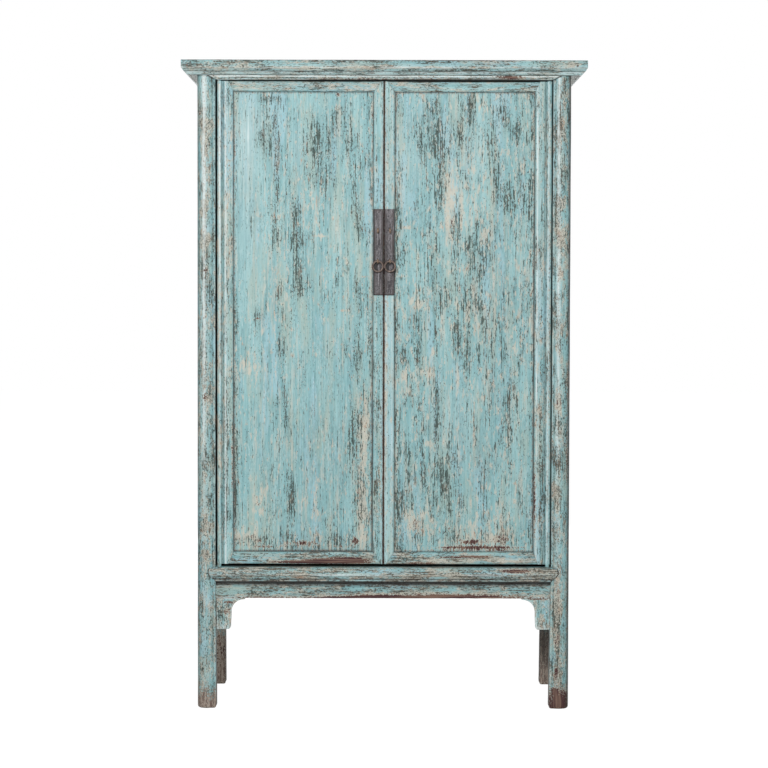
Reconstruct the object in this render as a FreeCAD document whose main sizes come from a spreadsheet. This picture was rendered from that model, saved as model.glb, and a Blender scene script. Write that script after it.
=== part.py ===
"""Two-door painted cabinet with wooden pivots, built as separate pieces (mm, +Z up, front faces -Y)."""
import FreeCAD, Part
import Sketcher
import math
import os

# Driving sizes, one sheet cell each
SIZES = {
    # whole cabinet
    "total_height": 1800,
    "body_width": 1038,
    "body_depth": 470,
    # top board
    "top_thickness": 40,
    "side_overhang": 41,
    "front_overhang": 25,
    "top_member_width": 95,
    "fascia_height": 21,
    "edge_inset": 15,
    "edge_fillet_height": 8,
    "edge_round": 2,
    "top_panel_thickness": 14,
    "top_batten_width": 45,
    "top_batten_height": 20,
    "top_batten_spread": 310,
    "nail_radius": 1.6,
    "nail_head_radius": 3.2,
    "nail_length": 10,
    "nail_drop": 15,
    "left_nail_inset": 17,
    "right_nail_inset": 28,
    # posts
    "post_width": 52,
    "post_depth": 52,
    "post_round": 24,
    "lip_width": 9,
    "lip_setback": 5,
    "lip_round": 3,
    "lip_groove": 1.5,
    "foot_chamfer": 2.5,
    "post_tenon": 22,
    "post_tenon_height": 26,
    # joinery
    "tenon_length": 18,
    "tenon_thickness": 12,
    "stub_length": 8,
    "groove_depth": 8,
    "tongue_play": 1,
    "tongue_thickness": 7,
    "joint_gap": 0.2,
    # front rails
    "lintel_height": 13.5,
    "lintel_depth": 44,
    "lintel_proud": 1,
    "lintel_lug": 23,
    "lintel_bead": 3,
    "sill_top": 396,
    "sill_height": 41,
    "sill_proud": 2,
    "sill_lug": 22,
    "sill_ridge_height": 18,
    "sill_round_depth": 6,
    "sill_hollow_depth": 5,
    "lug_foot": 2,
    "notch_depth": 14,
    # side and back rails
    "side_rail_inset": 6,
    "side_rail_thickness": 36,
    "back_rail_inset": 6,
    "upper_rail_height": 30,
    # walls
    "wall_thickness": 10,
    "wall_inset": 19,
    "muntin_width": 48,
    "muntin_thickness": 26,
    # apron and brackets
    "apron_height": 48,
    "apron_setback": 16,
    "apron_thickness": 18,
    "apron_housing": 6,
    "spandrel_width": 82,
    "spandrel_leg": 42,
    "spandrel_height": 87,
    "spandrel_curve": 37,
    "spandrel_toe": 9,
    "spandrel_tip": 1.5,
    "side_apron_thickness": 16,
    "side_spandrel_width": 62,
    # floor and shelves
    "floor_thickness": 12,
    "floor_drop": 8,
    "floor_batten_width": 40,
    "floor_batten_height": 24,
    "floor_batten_spread": 300,
    "shelf_thickness": 18,
    "lower_shelf_height": 800,
    "upper_shelf_height": 1285,
    "shelf_stop_gap": 1,
    "bearer_width": 24,
    "bearer_height": 24,
    "bearer_tenon": 12,
    # doors
    "door_gap": 4,
    "meeting_gap": 3,
    "door_top_gap": 2.5,
    "door_bottom_gap": 8,
    "door_setback": 10,
    "door_thickness": 28,
    "bead_radius": 6,
    "bead_groove_depth": 3.2,
    "bead_groove_width": 5,
    "stile_face": 28,
    "door_top_rail_height": 29,
    "door_bottom_rail_height": 34,
    "ridge_height": 2.4,
    "valley_depth": 2,
    "edge_depth": 3,
    "meeting_mitre": 22,
    "door_tenon_thickness": 8,
    "door_tenon_length": 9,
    "door_panel_thickness": 12,
    "door_panel_setback": 6,
    "door_batten_height": 40,
    "door_batten_spread": 420,
    # pivots
    "pin_radius": 5,
    "lower_pin_length": 20,
    "pivot_clearance": 0.1,
    "pivot_play": 0.3,
    # iron
    "plate_thickness": 1.5,
    "plate_height": 239,
    "plate_bottom": 1152.5,
    "plate_margin": 0.3,
    "eye_offset": 1.5,
    "lock_eye_rise": 179,
    "lock_eye_radius": 6.8,
    "lock_eye_bore": 3.8,
    "lock_eye_width": 5.5,
    "ring_eye_rise": 94.5,
    "ring_eye_radius": 6,
    "ring_eye_bore": 3,
    "ring_eye_width": 4.5,
    "eye_neck": 0.5,
    "shank_radius": 2.2,
    "shank_clearance": 0.1,
    "clench_length": 26,
    "clench_thickness": 2,
    "clench_width": 4,
    "ring_radius": 14.3,
    "ring_wire": 2,
}

# Rise of a quarter circle over its chord, as a share of its radius
QUARTER = 1.0 - math.cos(math.radians(45.0))

ALONG_X = FreeCAD.Rotation(FreeCAD.Vector(0, 1, 0), 90)
ALONG_Y = FreeCAD.Rotation(FreeCAD.Vector(1, 0, 0), -90)
UPRIGHT = FreeCAD.Rotation()
LEFT_RIGHT = FreeCAD.Vector(1, 0, 0)
FRONT_BACK = FreeCAD.Vector(0, 1, 0)

doc = FreeCAD.newDocument("cabinet")
sheet = doc.addObject("Spreadsheet::Sheet", "Sizes")
for row, (alias, number) in enumerate(SIZES.items(), start=1):
    sheet.set(f"A{row}", alias)
    sheet.set(f"B{row}", str(number))
    sheet.setAlias(f"B{row}", alias)
doc.recompute()

nodes = []


class Size:
    """A length kept both as an expression on the sheet and as its present value."""

    def __init__(self, text, value):
        self.text = text
        self.value = value

    def __add__(self, other):
        other = as_size(other)
        return Size(f"({self.text} + {other.text})", self.value + other.value)

    def __sub__(self, other):
        other = as_size(other)
        return Size(f"({self.text} - {other.text})", self.value - other.value)

    def __mul__(self, other):
        other = as_size(other)
        return Size(f"({self.text} * {other.text})", self.value * other.value)

    def __truediv__(self, other):
        other = as_size(other)
        return Size(f"({self.text} / {other.text})", self.value / other.value)

    def __radd__(self, other):
        return as_size(other) + self

    def __rsub__(self, other):
        return as_size(other) - self

    def __rmul__(self, other):
        return as_size(other) * self

    def __neg__(self):
        return as_size(0) - self


class Sheet:
    """Reads the driving sizes by name."""

    def __getattr__(self, alias):
        return Size(f"Sizes.{alias}", float(sheet.get(alias)))


def as_size(length):
    """A plain number as a size; a size as it is."""
    if isinstance(length, Size):
        return length
    return Size(f"{float(length):.6f}", float(length))


def bind(item, path, length):
    """Tie one property of an object to the sheet."""
    item.setExpression(path, as_size(length).text)


def place(item, corner, turn=UPRIGHT):
    """Put an object at a corner whose coordinates follow the sheet."""
    item.Placement = FreeCAD.Placement(FreeCAD.Vector(), turn)
    for axis, length in zip("xyz", corner):
        bind(item, f"Placement.Base.{axis}", length)


def block(name, low, high):
    """A rectangular block between two opposite corners."""
    item = doc.addObject("Part::Box", name)
    for side, start, end in zip(("Length", "Width", "Height"), low, high):
        bind(item, side, as_size(end) - start)
    place(item, low)
    return item


def seat(name, low, high):
    """The hole for a block: the same corners opened by the joint gap."""
    gap = s.joint_gap
    return block(name, [as_size(a) - gap for a in low], [as_size(b) + gap for b in high])


def rod(name, centre, radius, length, turn=UPRIGHT):
    """A cylinder from one end's centre."""
    item = doc.addObject("Part::Cylinder", name)
    bind(item, "Radius", radius)
    bind(item, "Height", length)
    place(item, centre, turn)
    return item


def fuse(name, items):
    item = doc.addObject("Part::MultiFuse", name)
    item.Shapes = items
    return item


def cut(name, base, tools):
    """One piece less all its tools."""
    item = doc.addObject("Part::Cut", name)
    item.Base = base
    item.Tool = tools[0] if len(tools) == 1 else fuse(f"{name}_tools", tools)
    return item


def common(name, first, second):
    item = doc.addObject("Part::Common", name)
    item.Base = first
    item.Tool = second
    return item


def group(name, items):
    """Separate solids kept together as one node."""
    item = doc.addObject("Part::Compound", name)
    item.Links = items
    return item


def mirror(name, item, normal):
    twin = doc.addObject("Part::Mirroring", name)
    twin.Source = item
    twin.Normal = normal
    return twin


def node(item):
    """Mark a finished piece for its own file."""
    nodes.append(item)
    return item


def pair(item):
    """A finished left piece and its right-hand twin."""
    node(item)
    return node(mirror(item.Label.replace("left", "right"), item, LEFT_RIGHT))


def new_body(name, corner):
    body = doc.addObject("PartDesign::Body", name)
    place(body, corner)
    return body


def edge_geometry(start, end, bulge):
    """A line, or the arc that rises over the chord by the bulge on the right of travel."""
    a = FreeCAD.Vector(start[0].value, start[1].value, 0)
    b = FreeCAD.Vector(end[0].value, end[1].value, 0)
    if bulge is None:
        return Part.LineSegment(a, b)
    chord = b - a
    rise = bulge.value
    outward = FreeCAD.Vector(chord.y, -chord.x, 0).normalize()
    radius = chord.Length ** 2 / (8.0 * abs(rise)) + abs(rise) / 2.0
    centre = (a + b) * 0.5 + outward * (rise - math.copysign(radius, rise))
    first, last = (a, b) if rise > 0 else (b, a)
    from_angle = math.atan2(first.y - centre.y, first.x - centre.x)
    to_angle = math.atan2(last.y - centre.y, last.x - centre.x)
    if to_angle < from_angle:
        to_angle += 2.0 * math.pi
    return Part.ArcOfCircle(Part.Circle(centre, FreeCAD.Vector(0, 0, 1), radius), from_angle, to_angle)


def draw(body, plane, name, loops):
    """A sketch of closed loops whose corners (across, up, bulge of the next edge) follow the sheet."""
    sketch = body.newObject("Sketcher::SketchObject", name)
    support = [item for item in body.Origin.OriginFeatures if item.Role == plane][0]
    sketch.AttachmentSupport = (support, "")
    sketch.MapMode = "FlatFace"
    for loop in loops:
        draw_loop(sketch, loop)
    return sketch


def draw_loop(sketch, loop):
    """One closed loop, counter-clockwise: two distances hold each corner, a radius holds each arc."""
    corners = [(as_size(corner[0]), as_size(corner[1])) for corner in loop]
    bulges = [as_size(corner[2]) if len(corner) > 2 else None for corner in loop]
    ends = corners[1:] + corners[:1]
    edges = [sketch.addGeometry(edge_geometry(*edge), False) for edge in zip(corners, ends, bulges)]
    starts = [2 if bulge is not None and bulge.value < 0 else 1 for bulge in bulges]
    rules = []
    lengths = []

    def add(rule, length=None):
        rules.append(rule)
        lengths.append(length)

    for i, edge in enumerate(edges):
        back = edges[i - 1]
        add(Sketcher.Constraint("Coincident", back, 3 - starts[i - 1], edge, starts[i]))
        for kind, axis, length in (("DistanceX", -2, corners[i][0]), ("DistanceY", -1, corners[i][1])):
            if length.value == 0.0:
                add(Sketcher.Constraint("PointOnObject", edge, starts[i], axis))
            else:
                add(Sketcher.Constraint(kind, -1, 1, edge, starts[i], length.value), length)
        if bulges[i] is not None:
            across = ends[i][0] - corners[i][0]
            up = ends[i][1] - corners[i][1]
            rise = bulges[i] if bulges[i].value > 0 else -bulges[i]
            radius = (across * across + up * up) / (8 * rise) + rise / 2
            add(Sketcher.Constraint("Radius", edge, radius.value), radius)
    for index, length in zip(sketch.addConstraint(rules), lengths):
        if length is not None:
            bind(sketch, f"Constraints[{index}]", length)


def pad(body, sketch, length):
    feature = body.newObject("PartDesign::Pad", f"{body.Name}_pad")
    feature.Profile = sketch
    bind(feature, "Length", length)
    return feature


def pocket(body, sketch, turned=False):
    feature = body.newObject("PartDesign::Pocket", f"{body.Name}_pocket")
    feature.Profile = sketch
    feature.Type = "ThroughAll"
    feature.Reversed = turned
    return feature


s = Sheet()

# Shared levels and faces
half_width = s.body_width / 2
half_depth = s.body_depth / 2
inner_x = half_width - s.post_width
inner_y = half_depth - s.post_depth
top_half_width = half_width + s.side_overhang
top_half_depth = half_depth + s.front_overhang
top_under = s.total_height - s.top_thickness
lintel_under = top_under - s.lintel_height
upper_rail_under = top_under - s.upper_rail_height
sill_under = s.sill_top - s.sill_height
apron_under = sill_under - s.apron_height
wall_out = half_width - s.wall_inset
wall_in = wall_out - s.wall_thickness
back_wall_in = half_depth - s.wall_inset - s.wall_thickness
back_wall_out = half_depth - s.wall_inset
floor_top = s.sill_top - s.floor_drop
floor_under = floor_top - s.floor_thickness

# Door levels and faces
door_left = s.door_gap - inner_x
door_front = s.door_setback - half_depth
door_back = door_front + s.door_thickness
door_base = s.sill_top + s.door_bottom_gap
door_top = lintel_under - s.door_top_gap
door_height = door_top - door_base
door_width = inner_x - s.door_gap - s.meeting_gap / 2
stile_width = 2 * s.bead_radius + s.bead_groove_width + s.stile_face
pivot_x = door_left + s.bead_radius
pivot_y = door_front + s.bead_radius


def post_blank():
    """A left front post: round outer corner, lips beside the openings, worn foot and a tenon on top."""
    wide, deep = s.post_width, s.post_depth
    lip, back, soft, vee = s.lip_width, s.lip_setback, s.lip_round, s.lip_groove
    body = new_body("post_stock", (-half_width, -half_depth, 0))
    section = [
        (wide, back + soft),
        (wide, deep),
        (back, deep),
        (back, deep - lip, back / 4),
        (0, s.post_round, QUARTER * s.post_round),
        (s.post_round, 0, back / 4),
        (wide - lip, back),
        (wide - soft, back, QUARTER * soft),
    ]
    stock = pad(body, draw(body, "XY_Plane", "post_section", [section]), top_under)
    doc.recompute()
    faces = stock.Shape.Faces
    lowest = min(range(len(faces)), key=lambda i: faces[i].CenterOfMass.z)
    foot = body.newObject("PartDesign::Chamfer", "post_foot")
    foot.Base = (stock, [f"Face{lowest + 1}"])
    bind(foot, "Size", s.foot_chamfer)
    front_vee = [
        (wide - lip, back - vee),
        (wide - lip + 2 * vee, back - vee),
        (wide - lip + vee, back + vee),
    ]
    side_vee = [
        (back - vee, deep - lip),
        (back + vee, deep - lip + vee),
        (back - vee, deep - lip + 2 * vee),
    ]
    pocket(body, draw(body, "XY_Plane", "post_grooves", [front_vee, side_vee]), turned=True)
    return fuse("post_with_tenon", [body, block("post_tenon", *post_tenon_corners())])


def post_tenon_corners():
    """Opposite corners of the tenon on the left front post."""
    x = -half_width + (s.post_width - s.post_tenon) / 2
    y = -half_depth + (s.post_depth - s.post_tenon) / 2
    low = (x, y, top_under - s.groove_depth)
    return low, (x + s.post_tenon, y + s.post_tenon, top_under + s.post_tenon_height)


def top_section():
    """Edge moulding of the top, from its outer edge inwards: fascia, round, fillet, cove, panel groove."""
    thick, wide, soft = s.top_thickness, s.top_member_width, s.edge_round
    fascia = thick - s.fascia_height
    slot = thick - s.top_panel_thickness - s.joint_gap
    slot_top = slot + s.tongue_thickness + 2 * s.joint_gap
    return [
        (wide, 0),
        (wide, slot),
        (wide - s.groove_depth, slot),
        (wide - s.groove_depth, slot_top),
        (wide, slot_top),
        (wide, thick),
        (soft, thick, QUARTER * soft),
        (0, thick - soft),
        (0, fascia, s.edge_inset / 12),
        (s.edge_inset / 2, s.edge_fillet_height),
        (s.edge_inset * 0.6, s.edge_fillet_height, -s.edge_inset / 12),
        (s.edge_inset, 0),
    ]


def mitre_tool(name, turn):
    """A block whose one face stands on the left front mitre."""
    reach = 2 * s.top_member_width
    tool = doc.addObject("Part::Box", name)
    bind(tool, "Length", 2 * reach)
    bind(tool, "Width", 2 * reach)
    bind(tool, "Height", s.top_thickness + 2)
    corner = (-top_half_width - reach / 2, -top_half_depth - reach / 2, top_under - 1)
    place(tool, corner, FreeCAD.Rotation(FreeCAD.Vector(0, 0, 1), turn))
    return tool


def build_top():
    """Four mitred members round a floating panel, battens under it, and the two old nails."""
    low, high = post_tenon_corners()
    mortise = seat("post_mortise", low, high)
    mortise_right = mirror("post_mortise_right", mortise, LEFT_RIGHT)
    mortise_back = mirror("post_mortise_back", mortise, FRONT_BACK)

    long_stock = new_body("top_long_stock", (-top_half_width, -top_half_depth, top_under))
    pad(long_stock, draw(long_stock, "YZ_Plane", "top_long_section", [top_section()]), 2 * top_half_width)
    front_mitre = mitre_tool("front_mitre", 45)
    long_tools = [front_mitre, mirror("front_mitre_right", front_mitre, LEFT_RIGHT), mortise, mortise_right]
    long_member = cut("top_long_member", long_stock, long_tools)
    node(mirror("top_back_member", long_member, FRONT_BACK))

    nail_z = s.total_height - s.nail_drop
    face_y = -top_half_depth
    nails = []
    holes = []
    spots = (("left", s.left_nail_inset - top_half_width), ("right", top_half_width - s.right_nail_inset))
    for side, x in spots:
        centre = (x, face_y, nail_z)
        shank = rod(f"{side}_nail_shank", centre, s.nail_radius, s.nail_length, ALONG_Y)
        head = rod(f"{side}_nail_head", centre, s.nail_head_radius, s.nail_radius, ALONG_Y)
        nail = fuse(f"{side}_nail", [shank, head])
        nails.append(nail)
        holes.append(nail)
    node(cut("top_front_member", long_member, holes))
    node(group("top_nails", nails))

    short_stock = new_body("top_short_stock", (-top_half_width, top_half_depth, top_under))
    section = draw(short_stock, "XZ_Plane", "top_short_section", [top_section()])
    pad(short_stock, section, 2 * top_half_depth)
    side_mitre = mitre_tool("side_mitre", -45)
    side_mitre_back = mirror("side_mitre_back", side_mitre, FRONT_BACK)
    pair(cut("top_left_member", short_stock, [side_mitre, side_mitre_back, mortise, mortise_back]))

    open_x = top_half_width - s.top_member_width
    open_y = top_half_depth - s.top_member_width
    under = s.total_height - s.top_panel_thickness
    reach = s.groove_depth - s.tongue_play
    gap = s.joint_gap
    field = block("top_field", (gap - open_x, gap - open_y, under), (open_x - gap, open_y - gap, s.total_height))
    tongue_low = (-open_x - reach, -open_y - reach, under)
    tongue_high = (open_x + reach, open_y + reach, under + s.tongue_thickness)
    node(fuse("top_panel", [field, block("top_tongue", tongue_low, tongue_high)]))

    middle = s.top_batten_spread / 2
    half = s.top_batten_width / 2
    batten = block("top_batten_left", (-middle - half, -open_y, under - s.top_batten_height),
                   (half - middle, open_y, under))
    node(group("top_battens", [batten, mirror("top_batten_right", batten, LEFT_RIGHT)]))


def lug_prism(name, bottom, height, reach, bulge):
    """The slanted end with which a front rail laps the left post."""
    body = new_body(name, (-(inner_x + reach), s.notch_depth - half_depth, bottom))
    corners = [(reach, 0), (reach, height), (0, height, bulge), (reach - s.lug_foot, 0)]
    pad(body, draw(body, "XZ_Plane", f"{name}_outline", [corners]), s.notch_depth + 3 * s.sill_proud)
    return body


def rail_stock(name, section, reach, proud, bottom):
    """A length of front rail moulding, centred, that runs past each post face by the reach."""
    body = new_body(name, (-(inner_x + reach), -half_depth - proud, bottom))
    pad(body, draw(body, "YZ_Plane", f"{name}_section", [section]), 2 * (inner_x + reach))
    return body


def lapped_rail(name, section, reach, proud, bottom, prism, core):
    """A front rail: moulded length between the posts, lapped ends and a tenon at each end."""
    middle = rail_stock(f"{name}_middle", section, as_size(0), proud, bottom)
    whole = rail_stock(f"{name}_whole", section, reach, proud, bottom)
    left_end = common(f"{name}_left_end", whole, prism)
    right_end = mirror(f"{name}_right_end", left_end, LEFT_RIGHT)
    return fuse(f"{name}_stock", [middle, left_end, right_end, core])


def build_front_rails():
    """Lintel and sill, with the sockets in which the doors turn; returns the post cutters."""
    mid_y = s.post_depth / 2 - half_depth
    half = s.tenon_thickness / 2
    far = inner_x + s.tenon_length
    socket = s.pin_radius + s.pivot_clearance

    tall, deep, bead = s.lintel_height, s.lintel_depth, s.lintel_bead
    section = [(deep, 0), (deep, tall), (bead, tall, bead * 0.8), (bead, 0)]
    prism = lug_prism("lintel_lug", lintel_under, tall, s.lintel_lug, s.lug_foot / 4)
    low = (-far, mid_y - half, lintel_under + tall / 4)
    high = (far, mid_y + half, top_under - tall / 4)
    stock = lapped_rail("lintel", section, s.lintel_lug, s.lintel_proud, lintel_under, prism,
                        block("lintel_tenon", low, high))
    hole = rod("upper_socket", (pivot_x, pivot_y, lintel_under - 1), socket, tall + 2)
    node(cut("front_lintel", stock, [hole, mirror("upper_socket_right", hole, LEFT_RIGHT)]))
    cutters = [prism, seat("lintel_mortise", low, high)]

    tall, ridge, hollow = s.sill_height, s.sill_ridge_height, s.sill_hollow_depth
    deep = s.post_depth + s.sill_proud
    section = [
        (deep, 0),
        (deep, tall),
        (s.sill_round_depth, tall, s.sill_round_depth / 2.4),
        (0, ridge, -hollow / 4),
        (hollow, ridge * 0.28, hollow / 4),
        (hollow, 0),
    ]
    prism = lug_prism("sill_lug", sill_under, tall, s.sill_lug, s.sill_lug / 5)
    low = (-far, mid_y - half, sill_under + tall / 6)
    high = (far, mid_y + half, s.sill_top - tall / 6)
    stock = lapped_rail("sill", section, s.sill_lug, s.sill_proud, sill_under, prism,
                        block("sill_tenon", low, high))
    hole = rod("lower_socket", (pivot_x, pivot_y, s.sill_top - s.lower_pin_length), socket,
               s.lower_pin_length + 1)
    sockets = [hole, mirror("lower_socket_right", hole, LEFT_RIGHT)]
    node(cut("front_sill", stock, sockets + batten_seats("sill")))
    return cutters + [prism, seat("sill_mortise", low, high)]


def floor_batten_corners(x):
    """Opposite corners of one floor batten, with a stub let into the sill and the back rail."""
    half = s.floor_batten_width / 2
    low = (x - half, -inner_y - s.stub_length, floor_under - s.floor_batten_height)
    return low, (x + half, inner_y + s.stub_length, floor_under)


def batten_seats(name):
    """Seats of the three floor battens."""
    places = (-s.floor_batten_spread, as_size(0), s.floor_batten_spread)
    return [seat(f"{name}_seat_{i}", *floor_batten_corners(x)) for i, x in enumerate(places)]


def build_floor():
    """Floor board between the rails, on three battens."""
    side = half_width - s.side_rail_inset - s.side_rail_thickness - s.joint_gap
    deep = inner_y - s.joint_gap
    node(block("floor_panel", (-side, -deep, floor_under), (side, deep, floor_top)))
    places = (-s.floor_batten_spread, as_size(0), s.floor_batten_spread)
    battens = [block(f"floor_batten_{i}", *floor_batten_corners(x)) for i, x in enumerate(places)]
    node(group("floor_battens", battens))


def side_wall_corners():
    """Opposite corners of the left side board with its edges in the grooves."""
    reach = s.groove_depth - s.tongue_play
    low = (-wall_out, -inner_y - reach, s.sill_top - reach)
    return low, (-wall_in, inner_y + reach, upper_rail_under + reach)


def back_wall_corners():
    """Opposite corners of the left back board with its edges in the grooves."""
    reach = s.groove_depth - s.tongue_play
    low = (-inner_x - reach, back_wall_in, s.sill_top - reach)
    return low, (reach - s.muntin_width / 2, back_wall_out, upper_rail_under + reach)


def muntin_tenon_corners():
    """Opposite corners of the core that runs through the back muntin into both rails."""
    half = s.muntin_width / 4
    middle = (back_wall_in + back_wall_out) / 2
    half_thick = s.tenon_thickness / 2
    low = (-half, middle - half_thick, s.sill_top - s.stub_length)
    return low, (half, middle + half_thick, upper_rail_under + s.stub_length)


def build_sides():
    """Left side: two rails and the board in their grooves, mirrored; returns the post cutters."""
    low, high = side_wall_corners()
    pair(block("left_side_panel", low, high))
    slot = seat("side_wall_slot", low, high)
    cutters = [slot]
    out = half_width - s.side_rail_inset
    mid_x = -(wall_out + wall_in) / 2
    half = s.tenon_thickness / 2
    far = inner_y + s.tenon_length
    levels = (("left_bottom_rail", sill_under, s.sill_top), ("left_top_rail", upper_rail_under, top_under))
    for name, bottom, top in levels:
        low = (-out, -inner_y, bottom)
        rail = block(f"{name}_block", low, (s.side_rail_thickness - out, inner_y, top))
        margin = (top - bottom) / 6
        low = (mid_x - half, -far, bottom + margin)
        high = (mid_x + half, far, top - margin)
        stock = fuse(f"{name}_stock", [rail, block(f"{name}_tenon", low, high)])
        pair(cut(name, stock, [slot]))
        cutters.append(seat(f"{name}_mortise", low, high))
    return cutters


def build_back():
    """Back: two rails, a muntin between them and two boards; returns the left back post cutters."""
    low, high = back_wall_corners()
    pair(block("back_left_panel", low, high))
    slot = seat("back_wall_slot", low, high)
    slots = [slot, mirror("back_wall_slot_right", slot, LEFT_RIGHT)]
    middle = (back_wall_in + back_wall_out) / 2
    half = s.muntin_width / 2
    half_thick = s.muntin_thickness / 2
    bar = block("back_muntin_block", (-half, middle - half_thick, s.sill_top),
                (half, middle + half_thick, upper_rail_under))
    low, high = muntin_tenon_corners()
    stock = fuse("back_muntin_stock", [bar, block("back_muntin_tenon", low, high)])
    node(cut("back_muntin", stock, slots))
    muntin_seat = seat("back_muntin_seat", low, high)

    cutters = [slot]
    far = inner_x + s.tenon_length
    half = s.tenon_thickness / 2
    levels = (("back_bottom_rail", sill_under, s.sill_top), ("back_top_rail", upper_rail_under, top_under))
    for name, bottom, top in levels:
        rail = block(f"{name}_block", (-inner_x, inner_y, bottom), (inner_x, half_depth - s.back_rail_inset, top))
        margin = (top - bottom) / 6
        low = (-far, middle - half, bottom + margin)
        high = (far, middle + half, top - margin)
        stock = fuse(f"{name}_stock", [rail, block(f"{name}_tenon", low, high)])
        tools = slots + [muntin_seat]
        if name == "back_bottom_rail":
            tools = tools + batten_seats(name)
        node(cut(name, stock, tools))
        cutters.append(seat(f"{name}_mortise", low, high))
    return cutters


def build_shelves():
    """Two shelves notched round the posts, on bearers against the side boards; returns post cutters."""
    cutters = []
    bearers = []
    gap = s.joint_gap
    middle = -wall_in + s.bearer_width / 2
    half = s.bearer_tenon / 2
    far = inner_y + s.stub_length
    muntin_front = (back_wall_in + back_wall_out - s.muntin_thickness) / 2
    shelf_front = door_back + s.clench_thickness + s.shelf_stop_gap
    for name, level in (("lower_shelf", s.lower_shelf_height), ("upper_shelf", s.upper_shelf_height)):
        wide = block(f"{name}_wide", (gap - wall_in, gap - inner_y, level),
                     (wall_in - gap, inner_y - gap, level + s.shelf_thickness))
        deep = block(f"{name}_deep", (gap - inner_x, shelf_front, level),
                     (inner_x - gap, muntin_front - gap, level + s.shelf_thickness))
        node(fuse(name, [wide, deep]))
        bar = block(f"{name}_bar", (-wall_in, -inner_y, level - s.bearer_height),
                    (s.bearer_width - wall_in, inner_y, level))
        centre = level - s.bearer_height / 2
        low = (middle - half, -far, centre - half)
        high = (middle + half, far, centre + half)
        bearers.append(fuse(f"{name}_bearer", [bar, block(f"{name}_tenon", low, high)]))
        cutters.append(seat(f"{name}_mortise", low, high))
    pair(group("left_shelf_bearers", bearers))
    return cutters


def bracket_corners(width, leg):
    """Outline of a bracket: straight by the post, toe below, hollow curve up to a thin tip."""
    tall, toe, curve = s.spandrel_height, s.spandrel_toe, s.spandrel_curve
    return [
        (0, 0),
        (leg - toe, 0, QUARTER * toe),
        (leg, toe),
        (width - curve, tall - s.spandrel_tip - curve, -QUARTER * curve),
        (width, tall - s.spandrel_tip),
        (width, tall),
        (0, tall),
    ]


def build_aprons():
    """Front and side aprons under the rails, with their brackets; returns the front post cutter."""
    front = s.apron_setback - half_depth
    back = front + s.apron_thickness
    reach = inner_x + s.apron_housing
    low, high = (-reach, front, apron_under), (reach, back, sill_under)
    node(block("front_apron", low, high))
    base = apron_under - s.spandrel_height
    bracket = new_body("front_left_spandrel", (-inner_x, back, base))
    outline = bracket_corners(s.spandrel_width, s.spandrel_leg)
    pad(bracket, draw(bracket, "XZ_Plane", "front_spandrel_outline", [outline]), s.apron_thickness)
    pair(bracket)

    mid_x = -(wall_out + wall_in) / 2
    half = s.side_apron_thickness / 2
    pair(block("left_side_apron", (mid_x - half, -inner_y, apron_under), (mid_x + half, inner_y, sill_under)))
    side = new_body("side_spandrel", (mid_x - half, -inner_y, base))
    leg = s.side_spandrel_width - s.spandrel_curve - s.spandrel_tip
    outline = bracket_corners(s.side_spandrel_width, leg)
    pad(side, draw(side, "YZ_Plane", "side_spandrel_outline", [outline]), s.side_apron_thickness)
    pair(group("left_side_spandrels", [side, mirror("side_spandrel_back", side, FRONT_BACK)]))
    return [seat("apron_slot", low, high)]


def ridged_face(start, end):
    """Corners along a door member's face: two ridges with a valley between, from start to end."""
    return [
        (start, s.edge_depth, s.ridge_height),
        ((start + end) / 2, s.valley_depth, s.ridge_height),
        (end, s.edge_depth),
    ]


def panel_slot_levels():
    """Front and back of the groove that holds a door panel, from the door's front."""
    front = s.door_panel_setback + (s.door_panel_thickness - s.tongue_thickness) / 2 - s.joint_gap
    return front, front + s.tongue_thickness + 2 * s.joint_gap


def door_tenon_levels():
    """Front and back of the door rails' tenons, from the door's front."""
    front = (s.door_thickness - s.door_tenon_thickness) / 2
    return front, front + s.door_tenon_thickness


def door_rail(name, base, height, inner_up):
    """A door rail with mitred ends and a tenon at each end; returns the rail and its stile cutter."""
    mitre, meeting = s.stile_face / 2, s.meeting_mitre
    start = stile_width - mitre
    length = door_width - s.stile_face + meeting - start
    body = new_body(f"{name}_stock", (door_left + start, door_front, base))
    slot_front, slot_back = panel_slot_levels()
    thick, deep = s.door_thickness, s.groove_depth
    face = [(depth, at, *bulge) for at, depth, *bulge in ridged_face(height, as_size(0))]
    if inner_up:
        floor = height - deep
        slot = [(slot_back, height), (slot_back, floor), (slot_front, floor), (slot_front, height)]
        section = [(thick, 0), (thick, height)] + slot + face
        ends = [[(0, 0), (mitre, height), (0, height)],
                [(length, 0), (length, height), (length - meeting, height)]]
        tenon_bottom, tenon_top = height * 0.15, height * 0.6
    else:
        slot = [(slot_front, 0), (slot_front, deep), (slot_back, deep), (slot_back, 0)]
        section = [(thick, 0), (thick, height)] + face + slot
        ends = [[(0, 0), (mitre, 0), (0, height)],
                [(length - meeting, 0), (length, 0), (length, height)]]
        tenon_bottom, tenon_top = height * 0.4, height * 0.85
    pad(body, draw(body, "YZ_Plane", f"{name}_section", [section]), length)
    pocket(body, draw(body, "XZ_Plane", f"{name}_mitres", ends))

    front, back = door_tenon_levels()
    left = door_left + start
    low = (left - s.door_tenon_length, door_front + front, base + tenon_bottom)
    high = (left + length - meeting / 2 + s.door_tenon_length, door_front + back, base + tenon_top)
    rail = fuse(name, [body, block(f"{name}_tenon", low, high)])
    return rail, seat(f"{name}_mortise", low, high)


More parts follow.
